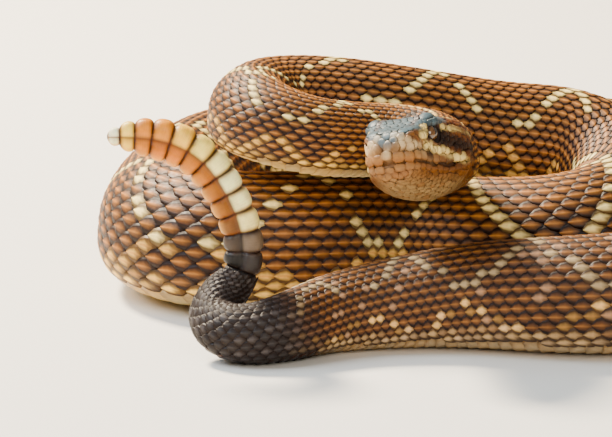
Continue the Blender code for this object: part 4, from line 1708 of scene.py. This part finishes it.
@dataclass(frozen=True)
class Rattle:
    """The rattle: hollow horn segments, each a ring of two cushions, on a curve that rises and leans over."""

    tall: tuple[float, ...] = (5.5, 5.6, 5.7, 5.8, 5.9, 6.0, 6.1, 6.1, 6.0, 5.4, 4.3, 2.6)
    pitches: tuple[float, ...] = (5.2, 5.4, 5.6, 5.6, 5.5, 5.4, 5.4, 5.2, 5.0, 4.6, 4.0, 3.6)
    thin: float = 0.66
    square: float = 2.5
    groove: float = 0.32
    groove_reach: float = 0.24
    waist: float = 0.36
    waist_power: float = 3.4
    # The last segment closes from this share of its length on, to sqrt(1 - close) of its size.
    button_round: float = 0.35
    button_close: float = 0.98
    sides: int = 64
    rings: int = 18
    nest: float = 0.09
    # Upper lobe and lower lobe of each segment, from the root to the tip: the horn's colours, with the upper
    # lobes painted lighter as the lit side and the palest creams painted as light glowing through the horn.
    upper: tuple[str, ...] = (
        "2e2624", "6c5a48", "ffea94", "fff2a8", "fff6b0", "fff098",
        "ffe068", "ffc43c", "e08c10", "d68008", "ffd450", "fff8d0",
    )
    lower: tuple[str, ...] = (
        "141010", "44362c", "784810", "92560c", "aa6208", "be6c02",
        "cc7400", "d47400", "d07000", "d87c00", "ffc438", "fff0b8",
    )
    # How many segments at the root are as dark as the tail.
    dark_segments: int = 2
    # Colours of the lower edge's painted glow, the rims' painted glow, the waists' painted shade and the side
    # grooves' painted shade. The second of a pair is for dark segments.
    edge: str = "f0a430"
    rim_glow: tuple[str, str] = ("984c00", "4a3c32")
    waist_shade: str = "220c04"
    groove_shade: tuple[str, str] = ("5e2a08", "16100c")
    # By height: where the lobes' colours meet, and the lower edge's painted glow.
    lobe_change: Band = (-0.04, 0.12)
    lower_edge_glow: Band = (0.55, 0.95)
    # By the share of the length from the nearer end: the swelling's painted highlight, the rims' painted glow
    # and the waists' painted shade.
    swelling: Band = (0.1, 0.4)
    rims: Band = (0.14, 0.28)
    waists: Band = (0.085, 0.19)
    seam_reach: float = 0.09
    uv_share: float = 0.9

    def build(self, hide: Hide, finish: Material) -> None:
        """Builds the segments as one piece.

        Args:
            hide: the grid, for the backbone.
            finish: the horn's material.
        """
        backbone = hide.backbone
        ends = np.concatenate([[0], np.cumsum(self.pitches)])
        ends = ends / ends[-1] * (backbone.length - backbone.root)
        groups = [self._segment(backbone, number, ends) for number in range(len(self.tall))]
        size = len(groups[0][0])
        points, tint, grain = (np.concatenate(column) for column in zip(*groups))
        squares, front, back = tube_faces(self.rings, self.sides)
        faces, uvs = [], []
        for face in (squares, np.concatenate([front, back])):
            copies = np.concatenate([face + number * size for number in range(len(groups))])
            place = grain[copies]
            along = (place[..., 2] + self.uv_share * place[..., 1]) / len(groups)
            faces.append(copies)
            uvs.append(np.stack([along, place[..., 0]], -1))
        Part("rattle_horn", points, faces, tint, grain, uvs).build(finish, Slot.HORN, ("rattle",))

    def _segment(self, backbone: Backbone, number: int, ends: Array) -> tuple[Array, Array, Array]:
        """One closed segment: a grooved superellipse, swollen between two waists.

        Args:
            backbone: the curve.
            number: which segment, from the root.
            ends: where segments start and end along the curve.

        Returns:
            Points, colours and grain, ring by ring, with the two end points last.
        """
        t = np.linspace(0, 1, self.rings)
        span = ends[number + 1] - ends[number]
        s = backbone.root + ends[number] + ((1 + 2 * self.nest) * t - self.nest) * span
        place, _, left, back = backbone.frames(np.clip(s, 0, backbone.length))
        swell = 1 - self.waist * np.abs(2 * t - 1) ** self.waist_power
        if number == len(self.tall) - 1:
            swell = swell * np.sqrt(1 - rise(t, self.button_round, 1.0) ** 2 * self.button_close)
        next_tall = self.tall[min(number + 1, len(self.tall) - 1)]
        tall = self.tall[number] + (next_tall - self.tall[number]) * np.clip(t - 0.5, 0, 1)
        turn = np.linspace(0, 2 * np.pi, self.sides, endpoint=False)
        sine, cosine = np.sin(turn), np.cos(turn)
        across = np.sign(sine) * np.abs(sine) ** (2 / self.square)
        up = np.sign(cosine) * np.abs(cosine) ** (2 / self.square)
        dent = 1 - self.groove * bell(up, self.groove_reach)
        size = (tall * swell)[:, None, None]
        flat = (self.thin * across * dent)[:, None] * left[:, None] + up[:, None] * back[:, None]
        points = place[:, None] + size * flat
        caps = np.stack([place[0], place[-1]])
        return np.concatenate([points.reshape(-1, 3), caps]), *self._dress(number, t, turn, up)

    def _dress(self, number: int, t: Array, turn: Array, up: Array) -> tuple[Array, Array]:
        """The segment's colours, by lobe, with painted glow at its rims, painted shade in its waists and
        grooves, and its grain.

        Args:
            number: which segment, from the root.
            t: each ring's share of the way along.
            turn: each side's angle.
            up: each side's height, -1 to 1.

        Returns:
            Colours and grain, ring by ring, with the two end points last.
        """
        t_grid, up_grid = np.meshgrid(t, up, indexing="ij")
        from_end = np.minimum(t_grid, 1 - t_grid)
        # Painted highlight, lightest in the middle of each lobe away from the segment's ends.
        light = bell(np.abs(up_grid) - 0.5, 0.35) * rise(from_end, *self.swelling)
        dark = int(number < self.dark_segments)
        # The upper lobe is painted lighter than the lower, as the lit side.
        tint = spread(shade(self.lower[number]), t_grid.shape)
        tint = mix(tint, shade(self.upper[number]), rise(up_grid, *self.lobe_change))
        # Painted highlight on the swellings, painted glow along the lower edge and at the rims, painted shade
        # in the waists and in the groove between the lobes.
        tint = washed(
            tint * (0.8 + 0.28 * light)[..., None],
            (shade(self.edge), 0.55 * rise(-up_grid, *self.lower_edge_glow) * (1 - dark)),
            (shade(self.rim_glow[dark]), 0.6 * (1 - rise(from_end, *self.rims))),
            (shade(self.waist_shade), 0.95 * (1 - rise(from_end, *self.waists))),
            (shade(self.groove_shade[dark]), 0.75 * bell(up_grid, self.seam_reach)),
        )
        turn_grid = np.broadcast_to(turn / (2 * np.pi), t_grid.shape)
        grain = np.stack([turn_grid, t_grid, np.full(t_grid.shape, float(number))], -1).reshape(-1, 3)
        caps = np.array([[0.5, 0.0, number], [0.5, 1.0, number]])
        return np.concatenate([tint.reshape(-1, 3), tint[[0, -1], 0]]), np.concatenate([grain, caps])


class Nodes:
    """A material's node tree, with short ways to add and join nodes."""

    # Most noise lies between these.
    NOISE = (0.3, 0.7)

    def __init__(self, name: str) -> None:
        """Makes the material with its shader."""
        self.material = bpy.data.materials.new(name)
        self.material.use_nodes = True
        self.tree = self.material.node_tree
        self.shader = self.tree.nodes["Principled BSDF"]

    def feed(self, node: bpy.types.Node, **inputs: Socket | float | tuple[float, ...]) -> None:
        """Joins sockets to a node's inputs and sets the rest. Their names' spaces are underscores here."""
        for name, value in inputs.items():
            target = node.inputs[name.replace("_", " ")]
            if isinstance(value, Socket):
                self.tree.links.new(value, target)
            else:
                target.default_value = value

    def set(self, **inputs: Socket | float | tuple[float, ...]) -> None:
        """Feeds the shader."""
        self.feed(self.shader, **inputs)

    def add(self, kind: str, output: str, **inputs: Socket | float | tuple[float, ...]) -> Socket:
        """The output of a new node that is fed with the inputs."""
        node = self.tree.nodes.new(f"ShaderNode{kind}")
        self.feed(node, **inputs)
        return node.outputs[output]

    def attribute(self, name: str, output: str) -> Socket:
        """One of the mesh's own attributes."""
        node = self.tree.nodes.new("ShaderNodeAttribute")
        node.attribute_name = name
        return node.outputs[output]

    def place(self) -> Socket:
        """The object's own coordinates, in metres."""
        return self.add("TexCoord", "Object")

    def noise(self, source: Socket, scale: float, detail: float) -> Socket:
        """Soft noise over a vector, about 0.5."""
        return self.add("TexNoise", "Fac", Vector=source, Scale=scale, Detail=detail)

    def lines(self, scale: Point, detail: float) -> Socket:
        """Noise over the mesh's grain, with each axis multiplied by its own number."""
        stretched = self.add("Mapping", "Vector", Vector=self.attribute("grain", "Vector"), Scale=scale)
        return self.noise(stretched, 1.0, detail)

    def ranged(self, source: Socket, low: float, high: float) -> Socket:
        """A noise value spread over low to high."""
        least, most = self.NOISE
        spans = {"From_Min": least, "From_Max": most, "To_Min": low, "To_Max": high}
        return self.add("MapRange", "Result", Value=source, **spans)

    def sum(self, first: Socket, second: Socket, weight: float) -> Socket:
        """The first value plus the second times a weight."""
        node = self.tree.nodes.new("ShaderNodeMath")
        node.operation = "MULTIPLY_ADD"
        node.inputs[1].default_value = weight
        self.tree.links.new(second, node.inputs[0])
        self.tree.links.new(first, node.inputs[2])
        return node.outputs["Value"]

    def tinted(self, value: Socket) -> Socket:
        """The mesh's own colour, multiplied by a value."""
        node = self.tree.nodes.new("ShaderNodeVectorMath")
        node.operation = "SCALE"
        self.feed(node, Vector=self.attribute("tint", "Color"), Scale=value)
        return node.outputs["Vector"]

    def bumped(self, height: Socket, strength: float, distance: float) -> Socket:
        """The normal bent by a height, over a distance in metres."""
        return self.add("Bump", "Normal", Height=height, Strength=strength, Distance=distance)


@dataclass(frozen=True)
class ScaleFinish:
    """Satin keratin over the markings: fine lines along each scale, soft mottling and a varied gloss."""

    name: str
    rough: Band = (0.42, 0.64)
    mottle: Band = (0.84, 1.14)
    mottle_scale: float = 620.0
    mottle_detail: float = 4.0
    line_scale: Point = (9.0, 1.1, 60.0)
    line_detail: float = 3.0
    line_weight: float = 0.07
    line_relief: float = 0.9
    bump: float = 0.5
    relief: float = 0.00018
    specular: float = 0.2
    coat: float = 0.02
    coat_rough: float = 0.35

    def gloss(self, nodes: Nodes) -> None:
        """Sets the shader's plain values."""
        nodes.set(Coat_Weight=self.coat, Coat_Roughness=self.coat_rough, Specular_IOR_Level=self.specular)

    def make(self) -> Material:
        """The material: colour * (mottle + weight * lines), over a relief of mottle + weight * lines."""
        nodes = Nodes(self.name)
        self.gloss(nodes)
        lines = nodes.lines(self.line_scale, self.line_detail)
        mottle = nodes.noise(nodes.place(), self.mottle_scale, self.mottle_detail)
        light, fine = nodes.ranged(mottle, *self.mottle), nodes.ranged(lines, -1.0, 1.0)
        nodes.set(
            Base_Color=nodes.tinted(nodes.sum(light, fine, self.line_weight)),
            Roughness=nodes.ranged(mottle, *self.rough),
            Normal=nodes.bumped(nodes.sum(mottle, lines, self.line_relief), self.bump, self.relief),
        )
        return nodes.material


@dataclass(frozen=True)
class HornFinish(ScaleFinish):
    """Dry translucent horn, keratin like the scales: growth lines round each segment and faint clouds."""

    name: str = "rattle_horn"
    rough: Band = (0.3, 0.55)
    mottle: Band = (0.8, 1.14)
    mottle_scale: float = 330.0
    mottle_detail: float = 5.0
    line_scale: Point = (1.5, 26.0, 3.0)
    line_detail: float = 2.0
    line_weight: float = 0.06
    line_relief: float = 0.8
    bump: float = 0.45
    relief: float = 0.0003
    specular: float = 0.25
    coat: float = 0.06
    coat_rough: float = 0.25
    # Light that spreads inside: its share, its reach in metres and its reach by colour.
    glow: float = 0.25
    glow_reach: float = 0.003
    glow_colour: Point = (1.0, 0.5, 0.2)

    def gloss(self, nodes: Nodes) -> None:
        """Sets the shader's plain values, and the light inside."""
        super().gloss(nodes)
        nodes.set(Subsurface_Weight=self.glow, Subsurface_Scale=self.glow_reach)
        nodes.set(Subsurface_Radius=self.glow_colour)


@dataclass(frozen=True)
class SkinFinish:
    """The thin skin between the scales: dull, folded and slightly grainy."""

    name: str = "skin_between_scales"
    rough: Band = (0.5, 0.75)
    folds: Band = (0.75, 1.2)
    fold_scale: float = 900.0
    fold_detail: float = 5.0
    bump: float = 0.6
    relief: float = 0.00025
    specular: float = 0.3

    def make(self) -> Material:
        """The material: colour, roughness and relief all follow the folds."""
        nodes = Nodes(self.name)
        folds = nodes.noise(nodes.place(), self.fold_scale, self.fold_detail)
        nodes.set(
            Base_Color=nodes.tinted(nodes.ranged(folds, *self.folds)),
            Roughness=nodes.ranged(folds, *self.rough),
            Specular_IOR_Level=self.specular,
            Normal=nodes.bumped(folds, self.bump, self.relief),
        )
        return nodes.material


@dataclass(frozen=True)
class EyeFinish:
    """A wet clear cap over the iris."""

    name: str = "eye_gloss"
    rough: Band = (0.12, 0.25)
    flecks: Band = (0.7, 1.25)
    fleck_scale: float = 14.0
    fleck_detail: float = 4.0
    coat: float = 1.0
    coat_rough: float = 0.02

    def make(self) -> Material:
        """The material: colour and roughness follow the flecks."""
        nodes = Nodes(self.name)
        flecks = nodes.noise(nodes.attribute("grain", "Vector"), self.fleck_scale, self.fleck_detail)
        nodes.set(
            Base_Color=nodes.tinted(nodes.ranged(flecks, *self.flecks)),
            Roughness=nodes.ranged(flecks, *self.rough),
            Coat_Weight=self.coat,
            Coat_Roughness=self.coat_rough,
        )
        return nodes.material


@dataclass(frozen=True)
class Lamp:
    """A soft square light: where it hangs, what it faces, its side, power and colour."""

    name: str
    place: Point
    side: float
    power: float
    colour: Point


@dataclass(frozen=True)
class Studio:
    """A pale floor, soft light and the camera at the photo's angle. All in metres."""

    target: Point = (-0.0463, -0.0498, 0.030)
    distance: float = 1.2
    tilt: float = 12.0
    lens: float = 243.4
    floor_size: float = 8.0
    floor_colour: str = "e6e2da"
    floor_rough: float = 0.8
    sky: Point = (1.0, 0.97, 0.92)
    sky_strength: float = 0.27
    lamps: tuple[Lamp, ...] = (
        Lamp("key_light", (-0.75, 0.75, 1.15), 0.3, 118.0, (1.0, 0.84, 0.62)),
        Lamp("cool_light", (-0.9, -0.2, 1.0), 0.9, 26.0, (0.74, 0.87, 1.0)),
        Lamp("front_light", (0.25, -1.3, 0.75), 0.7, 12.0, (1.0, 0.92, 0.8)),
    )

    def _camera(self) -> None:
        """The camera: back from the target along its view, which is level along +Y and tipped down."""
        tilt = math.radians(self.tilt)
        back = Vector((0.0, -math.cos(tilt), math.sin(tilt)))
        data = bpy.data.cameras.new("camera")
        data.lens = self.lens
        camera = placed("camera", data)
        camera.location = Vector(self.target) + back * self.distance
        camera.rotation_euler = (math.pi / 2 - tilt, 0.0, 0.0)
        bpy.context.scene.camera = camera

    def _light(self, lamp: Lamp) -> None:
        """One lamp, turned to face the camera's target."""
        data = bpy.data.lights.new(lamp.name, "AREA")
        data.size = lamp.side
        data.energy = lamp.power
        data.color = lamp.colour
        light = placed(lamp.name, data)
        light.location = lamp.place
        light.rotation_euler = (Vector(self.target) - Vector(lamp.place)).to_track_quat("-Z", "Y").to_euler()

    def _floor(self) -> None:
        """A flat pale square under the snake."""
        nodes = Nodes("pale_floor")
        nodes.set(Roughness=self.floor_rough, Base_Color=(*shade(self.floor_colour), 1.0))
        half = self.floor_size / 2
        corners = [(x * half, y * half, 0.0) for x, y in ((-1, -1), (1, -1), (1, 1), (-1, 1))]
        mesh = bpy.data.meshes.new("floor")
        mesh.from_pydata(corners, [], [(0, 1, 2, 3)])
        mesh.materials.append(nodes.material)
        placed("floor", mesh)

    def _world(self) -> None:
        """An even pale sky."""
        world = bpy.data.worlds.new("soft_sky")
        world.use_nodes = True
        sky = world.node_tree.nodes["Background"]
        sky.inputs["Color"].default_value = (*self.sky, 1.0)
        sky.inputs["Strength"].default_value = self.sky_strength
        bpy.context.scene.world = world

    def build(self) -> None:
        """Puts up the camera, floor, sky and lamps."""
        self._camera()
        self._floor()
        self._world()
        for lamp in self.lamps:
            self._light(lamp)


def main() -> None:
    """Builds every piece in order and reports it."""
    palette = Palette()
    head = HeadForm()
    hide = Hide(head, Backbone(Pose(), Girth(), head.way()))
    LOG.info("hide: %d rings of %d points", *hide.points.shape[:2])
    coat = Coat(hide, palette)
    Skin().build(hide, coat, SkinFinish().make())
    scales = DorsalScales()
    scales.build(hide, coat, ScaleFinish("keeled_scales").make())
    Scutes().build(hide, scales, palette, ScaleFinish("belly_scutes", (0.3, 0.45), relief=0.0001).make())
    HeadPlates().build(hide, coat, ScaleFinish("head_plates", (0.32, 0.5), relief=0.00012).make())
    Eyes().build(hide, EyeFinish().make())
    Rattle().build(hide, HornFinish().make())
    Studio().build()


if __name__ == "__main__":
    logging.basicConfig(level=logging.INFO, format="%(message)s")
    main()
